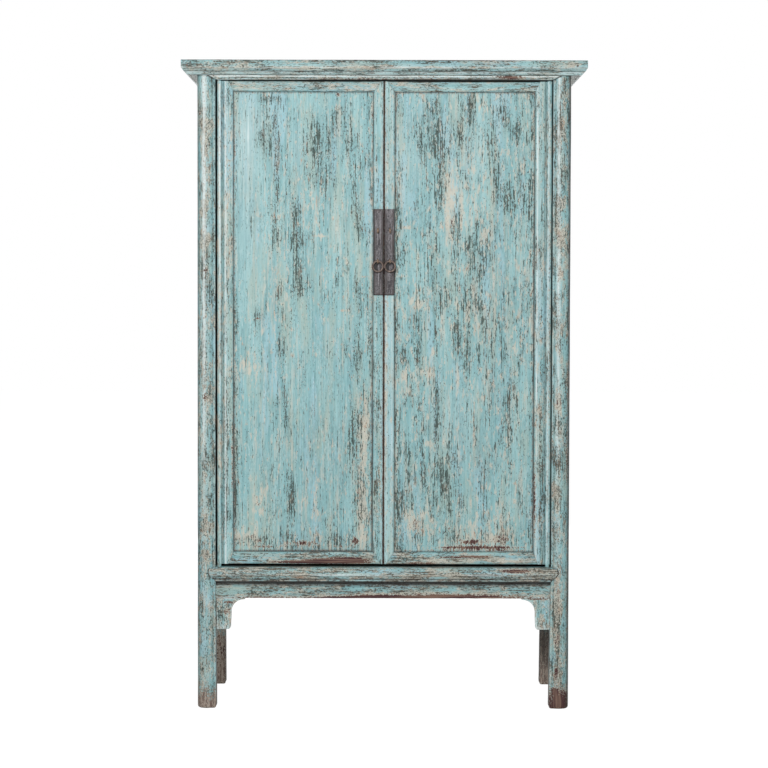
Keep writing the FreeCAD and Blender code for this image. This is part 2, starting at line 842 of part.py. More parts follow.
def door_stile(name, left, section, mitre_from, mitre_to, tools, extras):
    """A door stile with mitred ends, its mortises and whatever is fused to it."""
    body = new_body(f"{name}_stock", (left, door_front, door_base))
    pad(body, draw(body, "XY_Plane", f"{name}_section", [section]), door_height)
    low, top = s.door_bottom_rail_height, door_height - s.door_top_rail_height
    if mitre_to.value > mitre_from.value:
        ends = [[(mitre_from, 0), (mitre_to, 0), (mitre_to, low)],
                [(mitre_to, top), (mitre_to, door_height), (mitre_from, door_height)]]
    else:
        ends = [[(mitre_to, 0), (mitre_from, 0), (mitre_to, low)],
                [(mitre_to, top), (mitre_from, door_height), (mitre_to, door_height)]]
    pocket(body, draw(body, "XZ_Plane", f"{name}_mitres", ends))
    stock = fuse(f"{name}_with_pins", [body] + extras) if extras else body
    return cut(name, stock, tools)


def pivot_section():
    """Section of the pivot stile: bead on the pivot axis, groove, two ridges, panel groove."""
    bead, thick, wide = s.bead_radius, s.door_thickness, stile_width
    slot_front, slot_back = panel_slot_levels()
    groove_end = 2 * bead + s.bead_groove_width
    return [
        (wide, slot_front),
        (wide - s.groove_depth, slot_front),
        (wide - s.groove_depth, slot_back),
        (wide, slot_back),
        (wide, thick),
        (0, thick),
        (0, bead, QUARTER * bead),
        (bead, 0, bead / 5),
        (bead * 1.88, s.bead_groove_depth),
        (groove_end - 1, s.bead_groove_depth),
    ] + ridged_face(groove_end, wide)


def meeting_section():
    """Section of the meeting stile: two ridges, with the panel groove on its inner edge."""
    wide, thick = s.stile_face, s.door_thickness
    slot_front, slot_back = panel_slot_levels()
    return [
        (wide, thick),
        (0, thick),
        (0, slot_back),
        (s.groove_depth, slot_back),
        (s.groove_depth, slot_front),
        (0, slot_front),
    ] + ridged_face(as_size(0), wide)


def pivot_pins():
    """Bead ends that fill the gaps above and below the door, and the pins that turn in the sockets."""
    shoulder = s.bead_radius * 0.97
    low_end = s.sill_top + s.pivot_play
    high_end = lintel_under - s.pivot_play
    pin_low = s.sill_top - s.lower_pin_length + s.pivot_play
    overlap = s.door_bottom_gap
    return [
        rod("lower_bead", (pivot_x, pivot_y, low_end), shoulder, door_base - low_end + overlap),
        rod("lower_pin", (pivot_x, pivot_y, pin_low), s.pin_radius, door_base - pin_low),
        rod("upper_bead", (pivot_x, pivot_y, door_top - overlap), shoulder, high_end - door_top + overlap),
        rod("upper_pin", (pivot_x, pivot_y, door_top), s.pin_radius, top_under - s.pivot_play - door_top),
    ]


def door_panel():
    """Flat door panel with a tongue all round, and the battens across its back."""
    gap = s.joint_gap
    left = door_left + stile_width
    right = door_left + door_width - s.stile_face
    bottom = door_base + s.door_bottom_rail_height
    top = door_top - s.door_top_rail_height
    front = door_front + s.door_panel_setback
    back = front + s.door_panel_thickness
    field = block("left_door_field", (left + gap, front, bottom + gap), (right - gap, back, top - gap))
    reach = s.groove_depth - s.tongue_play
    tongue_front = door_front + panel_slot_levels()[0] + gap
    tongue = block("left_door_tongue", (left - reach, tongue_front, bottom - reach),
                   (right + reach, tongue_front + s.tongue_thickness, top + reach))
    pair(fuse("left_door_panel", [field, tongue]))
    middle = (bottom + top) / 2
    half = s.door_batten_height / 2
    battens = []
    for i, shift in enumerate((-s.door_batten_spread, as_size(0), s.door_batten_spread)):
        battens.append(block(f"left_door_batten_{i}", (left + gap, back, middle + shift - half),
                             (right - gap, door_back, middle + shift + half)))
    pair(group("left_door_battens", battens))


def eye_pin(name, x, height, radius, bore, width):
    """A split-pin eye: loop in front of the plate, shank through the stile, ends clenched behind."""
    y = eye_y(radius)
    ring = rod(f"{name}_ring", (x - width / 2, y, height), radius, width, ALONG_X)
    hole = rod(f"{name}_hole", (x - width, y, height), bore, 2 * width, ALONG_X)
    loop = cut(f"{name}_loop", ring, [hole])
    start = y + (radius + bore) / 2
    shank = rod(f"{name}_shank", (x, start, height), s.shank_radius, door_back + s.clench_thickness - start, ALONG_Y)
    half = s.clench_length / 2
    wide = s.clench_width / 2
    clench = block(f"{name}_clench", (x - wide, door_back, height - half),
                   (x + wide, door_back + s.clench_thickness, height + half))
    pair(fuse(name, [loop, shank, clench]))
    passage = s.shank_radius + s.shank_clearance
    return rod(f"{name}_passage", (x, start, height), passage, door_back + 1 - start, ALONG_Y)


def eye_y(radius):
    """Depth of an eye's centre in front of the plate."""
    return door_front - s.plate_thickness - s.eye_neck - radius


def build_doors():
    """Left door and its iron, mirrored to the right."""
    plate_left = door_left + door_width - s.stile_face
    eye_x = plate_left + s.stile_face / 2 - s.eye_offset
    lock_z = s.plate_bottom + s.lock_eye_rise
    ring_z = s.plate_bottom + s.ring_eye_rise
    lock = eye_pin("left_lock_eye", eye_x, lock_z, s.lock_eye_radius, s.lock_eye_bore,
                   s.lock_eye_width)
    hang = eye_pin("left_ring_eye", eye_x, ring_z, s.ring_eye_radius, s.ring_eye_bore,
                   s.ring_eye_width)
    margin = s.plate_margin
    plate = block("left_plate_sheet",
                  (plate_left + margin, door_front - s.plate_thickness, s.plate_bottom),
                  (plate_left + s.stile_face - margin, door_front, s.plate_bottom + s.plate_height))
    pair(cut("left_face_plate", plate, [lock, hang]))
    ring = doc.addObject("Part::Torus", "left_ring_pull")
    bind(ring, "Radius1", s.ring_radius)
    bind(ring, "Radius2", s.ring_wire)
    place(ring, (eye_x, eye_y(s.ring_eye_radius), ring_z - s.ring_radius), ALONG_Y)
    pair(ring)

    top_base = door_top - s.door_top_rail_height
    top_rail, top_seat = door_rail("left_door_top_rail", top_base, s.door_top_rail_height, False)
    low_rail, low_seat = door_rail("left_door_bottom_rail", door_base, s.door_bottom_rail_height, True)
    pair(top_rail)
    pair(low_rail)
    pair(door_stile("left_door_pivot_stile", door_left, pivot_section(), stile_width - s.stile_face / 2,
                    stile_width, [top_seat, low_seat], pivot_pins()))
    pair(door_stile("left_door_meeting_stile", plate_left, meeting_section(), s.meeting_mitre, as_size(0),
                    [top_seat, low_seat, lock, hang], []))
    door_panel()


def build_case():
    """Posts cut for every rail, board and bearer that enters them."""
    stock = post_blank()
    build_top()
    front_cutters = build_front_rails()
    side_cutters = build_sides()
    back_cutters = build_back()
    shelf_cutters = build_shelves()
    apron_cutters = build_aprons()
    build_floor()
    shared = side_cutters + shelf_cutters
    pair(cut("front_left_post", stock, front_cutters + shared + apron_cutters))
    back_stock = mirror("back_post_stock", stock, FRONT_BACK)
    pair(cut("back_left_post", back_stock, back_cutters + shared))


def check_features():
    """Stop on any object in error, any empty or broken shape, and any pocket that removed nothing."""
    for item in doc.Objects:
        if "Invalid" in item.State or "Error" in item.State:
            raise RuntimeError(f"{item.Label} did not build: {item.State}")
        if item.TypeId == "PartDesign::Pocket" and item.Shape.Volume >= item.BaseFeature.Shape.Volume:
            raise RuntimeError(f"{item.Label} cut nothing")
    for item in nodes:
        if item.Shape.isNull() or not item.Shape.isValid() or item.Shape.Volume <= 0:
            raise RuntimeError(f"{item.Label} is not a good solid")


build_case()
build_doors()
doc.recompute()
check_features()
os.makedirs("parts", exist_ok=True)
for piece in nodes:
    piece.Shape.exportStep(f"parts/{piece.Label}.step")
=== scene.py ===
"""Looks of a painted two-door cabinet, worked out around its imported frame.

Sizes are millimetres and become metres when a mesh is made; +Z is up and the doors face -Y.
A wooden piece is an outline carried along its length; the iron is such outlines and closed wire rings.
"""
import math

import bmesh
import bpy
import numpy as np
from mathutils import Matrix, Vector


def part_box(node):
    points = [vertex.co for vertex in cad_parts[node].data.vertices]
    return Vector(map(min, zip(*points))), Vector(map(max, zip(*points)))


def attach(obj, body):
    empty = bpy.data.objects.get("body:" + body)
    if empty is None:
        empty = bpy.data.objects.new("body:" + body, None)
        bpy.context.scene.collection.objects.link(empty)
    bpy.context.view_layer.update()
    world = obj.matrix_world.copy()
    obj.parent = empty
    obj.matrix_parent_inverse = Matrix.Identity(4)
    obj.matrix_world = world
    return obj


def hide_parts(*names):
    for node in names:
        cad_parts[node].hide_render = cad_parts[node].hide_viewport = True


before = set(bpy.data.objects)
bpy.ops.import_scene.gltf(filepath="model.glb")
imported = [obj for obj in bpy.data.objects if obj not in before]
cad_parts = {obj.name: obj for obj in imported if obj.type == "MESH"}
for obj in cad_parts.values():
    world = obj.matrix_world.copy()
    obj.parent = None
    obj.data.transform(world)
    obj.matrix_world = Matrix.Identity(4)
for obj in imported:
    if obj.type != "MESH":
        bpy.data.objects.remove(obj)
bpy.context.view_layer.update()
MM = 0.001
ATTRIBUTES = ("wear", "hollow", "soil", "gesso", "bare", "seed")

# Fineness of outlines and rounded ends
ARC_POINTS = 7
ARC_SHARE = 0.98
SAME_POINT = 1e-4
RUN_STEP = 5.0
END_STEPS = 5
SHARP_ANGLE = math.radians(38.0)

# How far rubbing and painted highlight on edges, and dirt with painted shade in grooves and joints reach
WEAR_AND_HIGHLIGHT_REACH = 7.0
SHADE_AND_DIRT_REACH = 3.5
SEAM_REACH = 3.0
END_WEAR = 0.8

# Hand-made unevenness: sines in one field, length of a face's slow waves and of an edge's bites, which
# have a seed of their own, and a wire's waves by its ring's radius, with the share that they take off
SINES = 5
FACE_WAVE = 160.0
EDGE_WAVE = 38.0
EDGE_SEED = 50
WIRE_WAVE = 2.2
WIRE_UNEVEN = 0.05

# Rows that fill an end face towards its heart, and the width over which its wear fades
HEART_ROWS = np.linspace(0.04, 0.97, 14)[:, None]
HEART_WIDE = 30.0


def span(node):
    """A node's low and high corner, in millimetres."""
    low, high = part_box(node)
    return np.array(low) / MM, np.array(high) / MM


def wander(points, seed, size):
    """A smooth hand-made unevenness from 0 to 1: the mean of a few sines in random directions."""
    dice = np.random.default_rng(seed)
    ways = dice.normal(size=(SINES, 3))
    ways *= (2.0 * np.pi / size) / np.linalg.norm(ways, axis=1, keepdims=True)
    phases = dice.uniform(0.0, 2.0 * np.pi, SINES)
    return 0.5 + 0.5 * np.sin(points @ ways.T + phases).mean(-1)


def bell(distance, reach):
    """A bell curve, 1 at no distance and about a third at its reach."""
    return np.exp(-(distance / reach) ** 2)


class Outline:
    """A closed outline from corners (across, deep, radius, mark).

    Each corner becomes an arc tangent to both its runs, as a rational quadratic whose middle weight is the
    cosine of half the turn; runs are divided into steps. A mark above 0 is an exposed edge and gives rubbing
    with a painted highlight, one below 0 is a groove and gives dirt with painted shade; both fall off as a
    bell curve of the distance to that corner.
    """

    def __init__(self, corners, step=RUN_STEP, reach=WEAR_AND_HIGHLIGHT_REACH):
        table = np.array([tuple(corner) + (0.0,) * (4 - len(corner)) for corner in corners], float)
        spot, radius, mark = table[:, :2], table[:, 2], table[:, 3]
        back = np.roll(spot, 1, 0) - spot
        ahead = np.roll(spot, -1, 0) - spot
        room = ARC_SHARE * np.minimum(np.linalg.norm(back, axis=1), np.linalg.norm(ahead, axis=1))
        back /= np.linalg.norm(back, axis=1, keepdims=True)
        ahead /= np.linalg.norm(ahead, axis=1, keepdims=True)
        turn = np.arccos(np.clip(-(back * ahead).sum(1), -1.0, 1.0))
        trim = np.minimum(radius * np.tan(turn / 2.0), room)[:, None]
        t = np.linspace(0.0, 1.0, ARC_POINTS)[None, :, None]
        weight = np.cos(turn / 2.0)[:, None, None]
        share = (1.0 - t) ** 2, 2.0 * t * (1.0 - t) * weight, t ** 2
        ends = spot + back * trim, spot, spot + ahead * trim
        arcs = sum(a * b[:, None] for a, b in zip(share, ends)) / sum(share)
        points = arcs.reshape(-1, 2)
        points = points[np.linalg.norm(points - np.roll(points, 1, 0), axis=1) > SAME_POINT]
        run = np.roll(points, -1, 0) - points
        parts = np.maximum(1, np.ceil(np.linalg.norm(run, axis=1) / step)).astype(int)
        index = np.repeat(np.arange(len(points)), parts)
        place = np.arange(parts.sum()) - np.repeat(np.cumsum(parts) - parts, parts)
        self.points = points[index] + (place / np.repeat(parts, parts))[:, None] * run[index]
        along = np.roll(self.points, -1, 0) - np.roll(self.points, 1, 0)
        along /= np.linalg.norm(along, axis=1, keepdims=True)
        ahead = np.roll(self.points, -1, 0)
        area = (self.points[:, 0] * ahead[:, 1] - self.points[:, 1] * ahead[:, 0]).sum()
        self.inward = np.sign(area) * np.stack([-along[:, 1], along[:, 0]], 1)
        away = np.linalg.norm(self.points[:, None] - spot[None], axis=2)
        self.wear = (np.maximum(mark, 0.0) * bell(away, reach)).max(1)
        self.hollow = (np.maximum(-mark, 0.0) * bell(away, SHADE_AND_DIRT_REACH)).max(1)


def carry(shape, plan, start, end, seed, rounds=(0.0, 0.0), spacing=12.0, uneven=0.35, bite=1.0, seam=0.0,
          heart=None):
    """Carry an outline along a straight path: rows of points at start + share * (end - start).

    start and end may differ from point to point, which makes a mitre. Near a rounded end the outline shrinks
    about its middle by r * (1 - sin a) while the path runs r * (1 - cos a). The face is drawn inwards by a
    slow unevenness, and exposed edges by a quicker one, as old hand-planed edges are. A seam darkens both
    ends of the piece with dirt and painted shade in the joint. A heart point fills both end faces with rows
    that shrink towards it.
    """
    count = len(shape.points)
    start = np.broadcast_to(np.asarray(start, float), (count,))
    end = np.broadcast_to(np.asarray(end, float), (count,))
    first, last = rounds
    lean = np.linspace(0.0, np.pi / 2.0, END_STEPS)[:-1, None]
    rows = max(2, int(np.ceil((np.abs(end - start).max() - first - last) / spacing)) + 1)
    share = np.linspace(0.0, 1.0, rows)[:, None]
    along = [start + first + share * (end - last - start - first)]
    inset = [np.zeros((rows, 1))]
    if first:
        along.insert(0, start + first * (1.0 - np.cos(lean)))
        inset.insert(0, first * (1.0 - np.sin(lean)))
    if last:
        along.append(end - last * (1.0 - np.cos(lean[::-1])))
        inset.append(last * (1.0 - np.sin(lean[::-1])))
    along = np.concatenate(along)
    inset = np.concatenate(inset)[:, :, None]
    middle = (shape.points.min(0) + shape.points.max(0)) / 2.0
    half = (shape.points.max(0) - shape.points.min(0)) / 2.0
    face = middle + (shape.points - middle) * (1.0 - inset / half)
    wear = np.broadcast_to(shape.wear, along.shape)
    if first:
        wear = np.maximum(wear, END_WEAR * bell(along - start, WEAR_AND_HIGHLIGHT_REACH))
    if last:
        wear = np.maximum(wear, END_WEAR * bell(end - along, WEAR_AND_HIGHLIGHT_REACH))
    place = np.stack(plan(face[..., 0], face[..., 1], along), -1)
    bites = wander(place, seed + EDGE_SEED, EDGE_WAVE) ** 2
    depth = uneven * wander(place, seed, FACE_WAVE) + bite * wear * bites
    face = face + shape.inward * depth[..., None]
    place = np.stack(plan(face[..., 0], face[..., 1], along), -1)
    # Dirt and painted shade in the joints at both ends
    joint_dirt_and_shade = seam * bell(np.minimum(along - start, end - along), SEAM_REACH)
    hollow = np.maximum(shape.hollow, joint_dirt_and_shade)
    if heart is not None:
        fill = []
        for rim, at in ((face[0], along[0]), (face[-1], along[-1])):
            drawn = np.array(heart) + (rim - heart) * HEART_ROWS[..., None]
            level = np.broadcast_to(at, drawn.shape[:2])
            fill.append(np.stack(plan(drawn[..., 0], drawn[..., 1], level), -1))
        edge = wear[0] * bell((1.0 - HEART_ROWS) * HEART_WIDE, WEAR_AND_HIGHLIGHT_REACH)
        place = np.concatenate([fill[0], place, fill[1][::-1]])
        wear = np.concatenate([edge, wear, edge[::-1]])
        hollow = np.concatenate([hollow[:1] * HEART_ROWS, hollow, hollow[-1:] * HEART_ROWS[::-1]])
    return {"points": place, "wear": wear, "hollow": hollow}


def round_outline(radius, count=24):
    """A circle as an outline: radius * (cos a, sin a)."""
    angle = np.linspace(0.0, 2.0 * np.pi, count, endpoint=False)
    return Outline(np.stack([radius * np.cos(angle), radius * np.sin(angle)], 1), step=radius)


def wire_ring(centre, axis, radius, thick, wide, seed, count=56, around=16):
    """A closed ring: centre + (radius + thick * cos b) * spoke(a) + wide * sin b * axis, with uneven wire."""
    a = np.linspace(0.0, 2.0 * np.pi, count, endpoint=False)[:, None]
    b = np.linspace(0.0, 2.0 * np.pi, around, endpoint=False)[None, :]
    axis = np.array(axis, float)
    one = np.array((0.0, 0.0, 1.0))
    two = np.cross(axis, one)
    spoke = np.cos(a)[..., None] * one + np.sin(a)[..., None] * two
    worn = 1.0 - WIRE_UNEVEN * wander(spoke * radius, seed, WIRE_WAVE * radius)
    out = (radius + thick * worn * np.cos(b))[..., None] * spoke
    points = np.array(centre) + out + (wide * worn * np.sin(b))[..., None] * axis
    return {"points": points, "wear": np.maximum(0.0, np.cos(b)) + 0.0 * a, "closed": True}


def make(name, body, nodes, finish, grids, seed, lining=None):
    """One piece from closed grids, riding on a body and standing for the named nodes.

    A grid holds rows of points round a loop: neighbours make four-sided faces, and the end rows are
    capped, or joined to each other where the grid closes on itself. A lining (finish, axis, sign, level)
    finishes the faces whose middle lies past a level along an axis, on the inside of the cabinet.
    """
    points, faces = [], []
    values = {key: [] for key in ATTRIBUTES}
    base = 0
    for grid in grids:
        rows, count = grid["points"].shape[:2]
        for key, spots in SPOTS.get(name, {}).items():
            grid[key] = grid.get(key, 0.0) + spread(grid["points"], spots)
        closed = grid.get("closed", False)
        i = np.arange(rows if closed else rows - 1)[:, None]
        j = np.arange(count)[None, :]
        ahead, beside = (i + 1) % rows, (j + 1) % count
        quads = np.stack([i * count + j, i * count + beside, ahead * count + beside, ahead * count + j], -1)
        faces += (base + quads.reshape(-1, 4)).tolist()
        if not closed:
            last_row = base + (rows - 1) * count
            faces += [list(range(base, base + count)), list(range(last_row, last_row + count))]
        points.append(grid["points"].reshape(-1, 3))
        for key in ATTRIBUTES:
            amount = float(seed) if key == "seed" else grid.get(key, 0.0)
            values[key].append(np.broadcast_to(amount, (rows, count)).reshape(-1))
        base += rows * count
    mesh = bpy.data.meshes.new(name)
    mesh.from_pydata(np.concatenate(points) * MM, [], faces)
    work = bmesh.new()
    work.from_mesh(mesh)
    bmesh.ops.recalc_face_normals(work, faces=work.faces)
    work.to_mesh(mesh)
    work.free()
    mesh.shade_smooth()
    mesh.set_sharp_from_angle(angle=SHARP_ANGLE)
    for key in ATTRIBUTES:
        column = mesh.attributes.new(key, "FLOAT", "POINT")
        column.data.foreach_set("value", np.concatenate(values[key]).astype(np.float32))
    piece = bpy.data.objects.new(name, mesh)
    bpy.context.scene.collection.objects.link(piece)
    material, slot = finish
    mesh.materials.append(material)
    if lining:
        (inner, _), axis, way, level = lining
        mesh.materials.append(inner)
        middles = np.empty(3 * len(mesh.polygons), np.float32)
        mesh.polygons.foreach_get("center", middles)
        past = way * middles.reshape(-1, 3)[:, axis] / MM > way * level
        mesh.polygons.foreach_set("material_index", past.astype(np.int32))
    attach(piece, body)
    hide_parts(*nodes)


def board(low, high, grain, seed, soft=1.5, mark=0.8, spacing=20.0, step=12.0, uneven=0.3):
    """A planed board between two corners: a rectangle with softened corners carried along its grain."""
    axis = "xyz".index(grain)
    across, deep = [i for i in range(3) if i != axis]
    wide, thick = high[across] - low[across], high[deep] - low[deep]
    corners = [(0, 0, soft, mark), (wide, 0, soft, mark), (wide, thick, soft, mark), (0, thick, soft, mark)]

    def plan(a, b, along):
        place = [None, None, None]
        place[across], place[deep], place[axis] = low[across] + a, low[deep] + b, along
        return place

    return carry(Outline(corners, step), plan, low[axis], high[axis], seed, (soft, soft), spacing, uneven)


# Colours and finishes

PAINT_PALE = "#9bc4c6"
PAINT_DEEP = "#74a5aa"
PAINT_SKY = "#9fc7d0"
PAINT_GREEN = "#a3b5aa"
# Rubbed paint, and the colour of painted highlights on edges, ridges and the top's undersides
PAINT_RUBBED_AND_HIGHLIGHT = "#dbe6e5"
PAINT_DULL = "#76857f"
GESSO = "#c9c4b5"
GESSO_WARM = "#b6967c"
SOIL = "#41544f"
SOIL_BROWN = "#5f594d"
SPECK = "#3a3c37"
WOOD_RED = "#432829"
WOOD_BROWN = "#7a6154"
FOOT_DARK = "#614e45"
FOOT_PALE = "#aa9c8f"
# Dirt and painted shade, laid in grooves, joints, gaps and under overhangs
DIRT_AND_SHADE = "#2f2b28"
ELM_DARK = "#5b4232"
ELM_PALE = "#a8875f"
ELM_RING = "#4b3526"
ELM_PORE = "#35261e"
ELM_STAIN = "#54453a"
# Dark iron edges, and painted shadow where a ring hangs over its plate
IRON_EDGE_AND_SHADOW = "#1d1b1c"
SEED_SHIFT = (1.37, 2.11, 0.83)
RUB_AND_HIGHLIGHT_FADE = 0.45
BUMP_STRENGTH = 0.5


def linear(code):
    """An sRGB hex colour as linear red, green, blue and alpha."""
    share = np.array([int(code[i:i + 2], 16) for i in (1, 3, 5)]) / 255.0
    bright = np.where(share <= 0.04045, share / 12.92, ((share + 0.055) / 1.055) ** 2.4)
    return (*bright, 1.0)


def add(tree, kind, inputs, **settings):
    """Add one shader node: its settings, then each input set to a value or linked to a socket."""
    item = tree.nodes.new("ShaderNode" + kind)
    for key, value in settings.items():
        setattr(item, key, value)
    for key, value in inputs.items():
        if isinstance(value, bpy.types.NodeSocket):
            tree.links.new(value, item.inputs[key])
        else:
            item.inputs[key].default_value = value
    return item


def new_material(name):
    """An empty node material and its tree."""
    material = bpy.data.materials.new(name)
    material.use_nodes = True
    material.node_tree.nodes.clear()
    return material, material.node_tree


def surface_place(tree):
    """The piece's own coordinates, and those moved by its seed so that no two pieces share a pattern."""
    own = add(tree, "TexCoord", {}).outputs["Object"]
    seed = add(tree, "Attribute", {}, attribute_name="seed").outputs["Fac"]
    moved = add(tree, "VectorMath", {0: seed, 1: SEED_SHIFT}, operation="MULTIPLY").outputs[0]
    return own, add(tree, "VectorMath", {0: own, 1: moved}, operation="ADD").outputs[0]


def fibres(tree, place, grain, width, length, detail, ragged=0.6, shift=0.0):
    """A noise drawn out along the grain, whose spots are about width by length millimetres."""
    scale = [1.0 / ((length if axis == grain else width) * MM) for axis in "xyz"]
    drawn = add(tree, "Mapping", {"Vector": place, "Location": (shift, shift, shift), "Scale": scale})
    inputs = {"Vector": drawn.outputs[0], "Scale": 1.0, "Detail": detail, "Roughness": ragged}
    return add(tree, "TexNoise", inputs).outputs[0]


def total(tree, *terms):
    """The sum of (value, factor) pairs and plain values, each a number or a socket."""
    value = None
    for term in terms:
        socket, factor = term if isinstance(term, tuple) else (term, 1.0)
        inputs = {0: socket, 1: factor, 2: 0.0 if value is None else value}
        value = add(tree, "Math", inputs, operation="MULTIPLY_ADD").outputs[0]
    return value


class Coats:
    """A colour built up in coats, one over the other."""

    def __init__(self, tree, colour):
        self.tree = tree
        self.colour = linear(colour)

    def lay(self, over, value, low, high, cover=1.0, step="SMOOTHSTEP"):
        """Lay a colour by cover * share, where share goes from 0 to 1 as a value goes from low to high."""
        inputs = {"Value": value, "From Min": low, "From Max": high}
        share = add(self.tree, "MapRange", inputs, interpolation_type=step).outputs[0]
        over = linear(over) if isinstance(over, str) else over
        inputs = {0: total(self.tree, (share, cover)), 6: self.colour, 7: over}
        self.colour = add(self.tree, "Mix", inputs, data_type="RGBA").outputs[2]
        return share

    def close(self, relief, depth, rough, **fixed):
        """Put the colour on a shader with a relief, some millimetres deep, and a roughness."""
        bump = add(self.tree, "Bump", {"Strength": BUMP_STRENGTH, "Distance": depth * MM, "Height": relief})
        inputs = {"Base Color": self.colour, "Roughness": rough, "Normal": bump.outputs[0], **fixed}
        shader = add(self.tree, "BsdfPrincipled", inputs)
        add(self.tree, "OutputMaterial", {0: shader.outputs[0]})


def worn_paint(name, grain, soil=0.0, gesso=0.0, bare=0.0, dull=0.0, crackle=0.0, stretch=1.0, grit=0.3,
               lines=0.0, brown=0.0, foot=0.045):
    """Milk paint over a chalk ground on elm, rubbed and weathered.

    The eye sees a chalky blue-green drawn out along the grain, cream ground where it is rubbed thin, fine
    grey-green streaks where dirt sits in open grain, and red-brown wood where edges and flakes have come off.
    Hair lines, dust and pits are drawn coarser than real ones so that they show.
    """
    material, tree = new_material(name)
    own, place = surface_place(tree)
    marks = {key: add(tree, "Attribute", {}, attribute_name=key).outputs["Fac"] for key in ATTRIBUTES}

    # Brushed film: slow drifts, brush marks and hair-fine lines
    drift = fibres(tree, place, grain, 40.0, 300.0 * stretch, 3.0)
    brush = fibres(tree, place, grain, 5.0, 200.0 * stretch, 3.0, 0.6, 3.0)
    hair = fibres(tree, place, grain, 1.8, 28.0 * stretch, 2.0, 0.6, 7.0)
    mossy = fibres(tree, place, grain, 24.0, 210.0 * stretch, 4.0, 0.65, 11.0)
    film = Coats(tree, PAINT_DEEP)
    film.lay(PAINT_PALE, total(tree, (drift, 0.55), (brush, 0.45), (hair, 0.3)), 0.49, 0.81)
    film.lay(PAINT_GREEN, mossy, 0.47, 0.67, 0.62)
    film.lay(PAINT_SKY, drift, 0.46, 0.34, 0.7)

    # Weathered stretches between patches of sound paint, paint faded by rubbing, and painted highlights on
    # edges and ridges
    patch = fibres(tree, place, grain, 20.0, 130.0 * stretch, 3.0, 0.6, 59.0)
    dust = fibres(tree, place, grain, 2.8, 14.0 * stretch, 3.0, 0.7, 47.0)
    weak = film.lay(PAINT_DULL, patch, 0.56, 0.44, dull)
    film.lay(GESSO, brush, 0.57, 0.66, total(tree, (weak, lines)))
    film.lay(SOIL, brush, 0.43, 0.34, total(tree, (weak, lines)))
    film.lay(SOIL, dust, 0.52, 0.70, total(tree, (weak, grit)))
    film.lay(PAINT_RUBBED_AND_HIGHLIGHT, dust, 0.48, 0.32, total(tree, (weak, grit)))
    # Rubbed paint with painted highlights, rising evenly with the edge mark
    film.lay(PAINT_RUBBED_AND_HIGHLIGHT, marks["wear"], 0.0, 1.0 / RUB_AND_HIGHLIGHT_FADE, step="LINEAR")

    # Chalk ground showing through, crazed where it is thick
    warm = fibres(tree, place, grain, 14.0, 40.0 * stretch, 3.0, 0.6, 19.0)
    ground = Coats(tree, GESSO)
    ground.lay(GESSO_WARM, warm, 0.54, 0.72)
    smear = fibres(tree, place, grain, 13.0, 130.0 * stretch, 4.0, 0.62, 53.0)
    film.lay(ground.colour, total(tree, smear, (marks["gesso"], 0.06)), 0.545, 0.72, 0.48)
    thin = fibres(tree, place, grain, 9.0, 32.0 * stretch, 6.0, 0.72, 17.0)
    thin = total(tree, thin, (marks["gesso"], 0.13), (hair, 0.1), (dust, 0.2), (weak, 1.3 * gesso), -0.075)
    pale = film.lay(ground.colour, thin, 0.655, 0.775, 0.85)
    web = fibres(tree, place, grain, 5.0, 7.0, 3.0, 0.6, 41.0)
    web = add(tree, "Math", {0: total(tree, web, -0.5)}, operation="ABSOLUTE").outputs[0]
    film.lay(SPECK, web, 0.035, 0.005, total(tree, (pale, crackle)))

    # Dirt held in open grain: fine lines that crowd together where it is dense, and pits
    streak = fibres(tree, place, grain, 2.8, 85.0 * stretch, 2.0, 0.55, 23.0)
    dash = fibres(tree, place, grain, 3.4, 13.0 * stretch, 3.0, 0.6, 43.0)
    cluster = fibres(tree, place, grain, 26.0, 110.0 * stretch, 3.0, 0.6, 29.0)
    dense = film.lay(SOIL, total(tree, cluster, (marks["soil"], 0.28), soil), 0.37, 0.90, 0.16)
    tint = Coats(tree, SOIL)
    tint.lay(SOIL_BROWN, warm, 0.5 - brown, 0.65 - brown)
    crowd = total(tree, (streak, 0.8), (dash, 0.65), (dense, 0.165))
    dirty = film.lay(tint.colour, crowd, 0.865, 0.945, 0.95)
    pit = fibres(tree, place, grain, 3.0, 6.0, 2.0, 0.6, 37.0)
    pit = film.lay(SPECK, total(tree, pit, (dense, 0.12), (grit, 0.06)), 0.68, 0.73, 0.8)

    # Rubbed edges and painted highlights, broken along their length
    rubbed = total(tree, (marks["wear"], 0.9), (brush, 1.0), (patch, 1.2), -1.15)
    film.lay(PAINT_RUBBED_AND_HIGHLIGHT, rubbed, 0.45, 1.0, 0.75)

    # Bare feet, and flakes with a cream rim round bare wood
    flake = fibres(tree, place, grain, 5.0, 9.0 * stretch, 6.0, 0.75, 31.0)
    height = add(tree, "SeparateXYZ", {0: own}).outputs[2]
    worn = Coats(tree, FOOT_DARK)
    worn.lay(FOOT_PALE, total(tree, (brush, 0.4), (dust, 0.6)), 0.40, 0.60)
    damp = total(tree, (height, -6.0), (flake, 1.2), (mossy, 0.7), 6.0 * foot - 0.56)
    film.lay(worn.colour, damp, 0.32, 0.46)
    loose = total(tree, flake, (marks["bare"], 0.17), (marks["wear"], 0.10), bare)
    rim = film.lay(GESSO, loose, 0.69, 0.72, 0.8)
    wood = Coats(tree, WOOD_RED)
    wood.lay(WOOD_BROWN, brush, 0.4, 0.65)
    core = film.lay(wood.colour, loose, 0.74, 0.77)

    # Dirt and painted shade in grooves, joints and gaps, and painted shadow under overhangs
    film.lay(DIRT_AND_SHADE, total(tree, marks["hollow"], (streak, 0.5), (dash, 0.7), -0.6), 0.15, 1.0, 0.9)

    relief = total(tree, (brush, 0.25), (hair, 0.2), (rim, -0.35), (core, -0.5), (dirty, -0.2), (pit, -0.4))
    rough = total(tree, (dirty, 0.15), (core, 0.15), (hair, 0.2), 0.42)
    film.close(relief, 0.5, rough, **{"Specular IOR Level": 0.35})
    return material, "painted_wood"


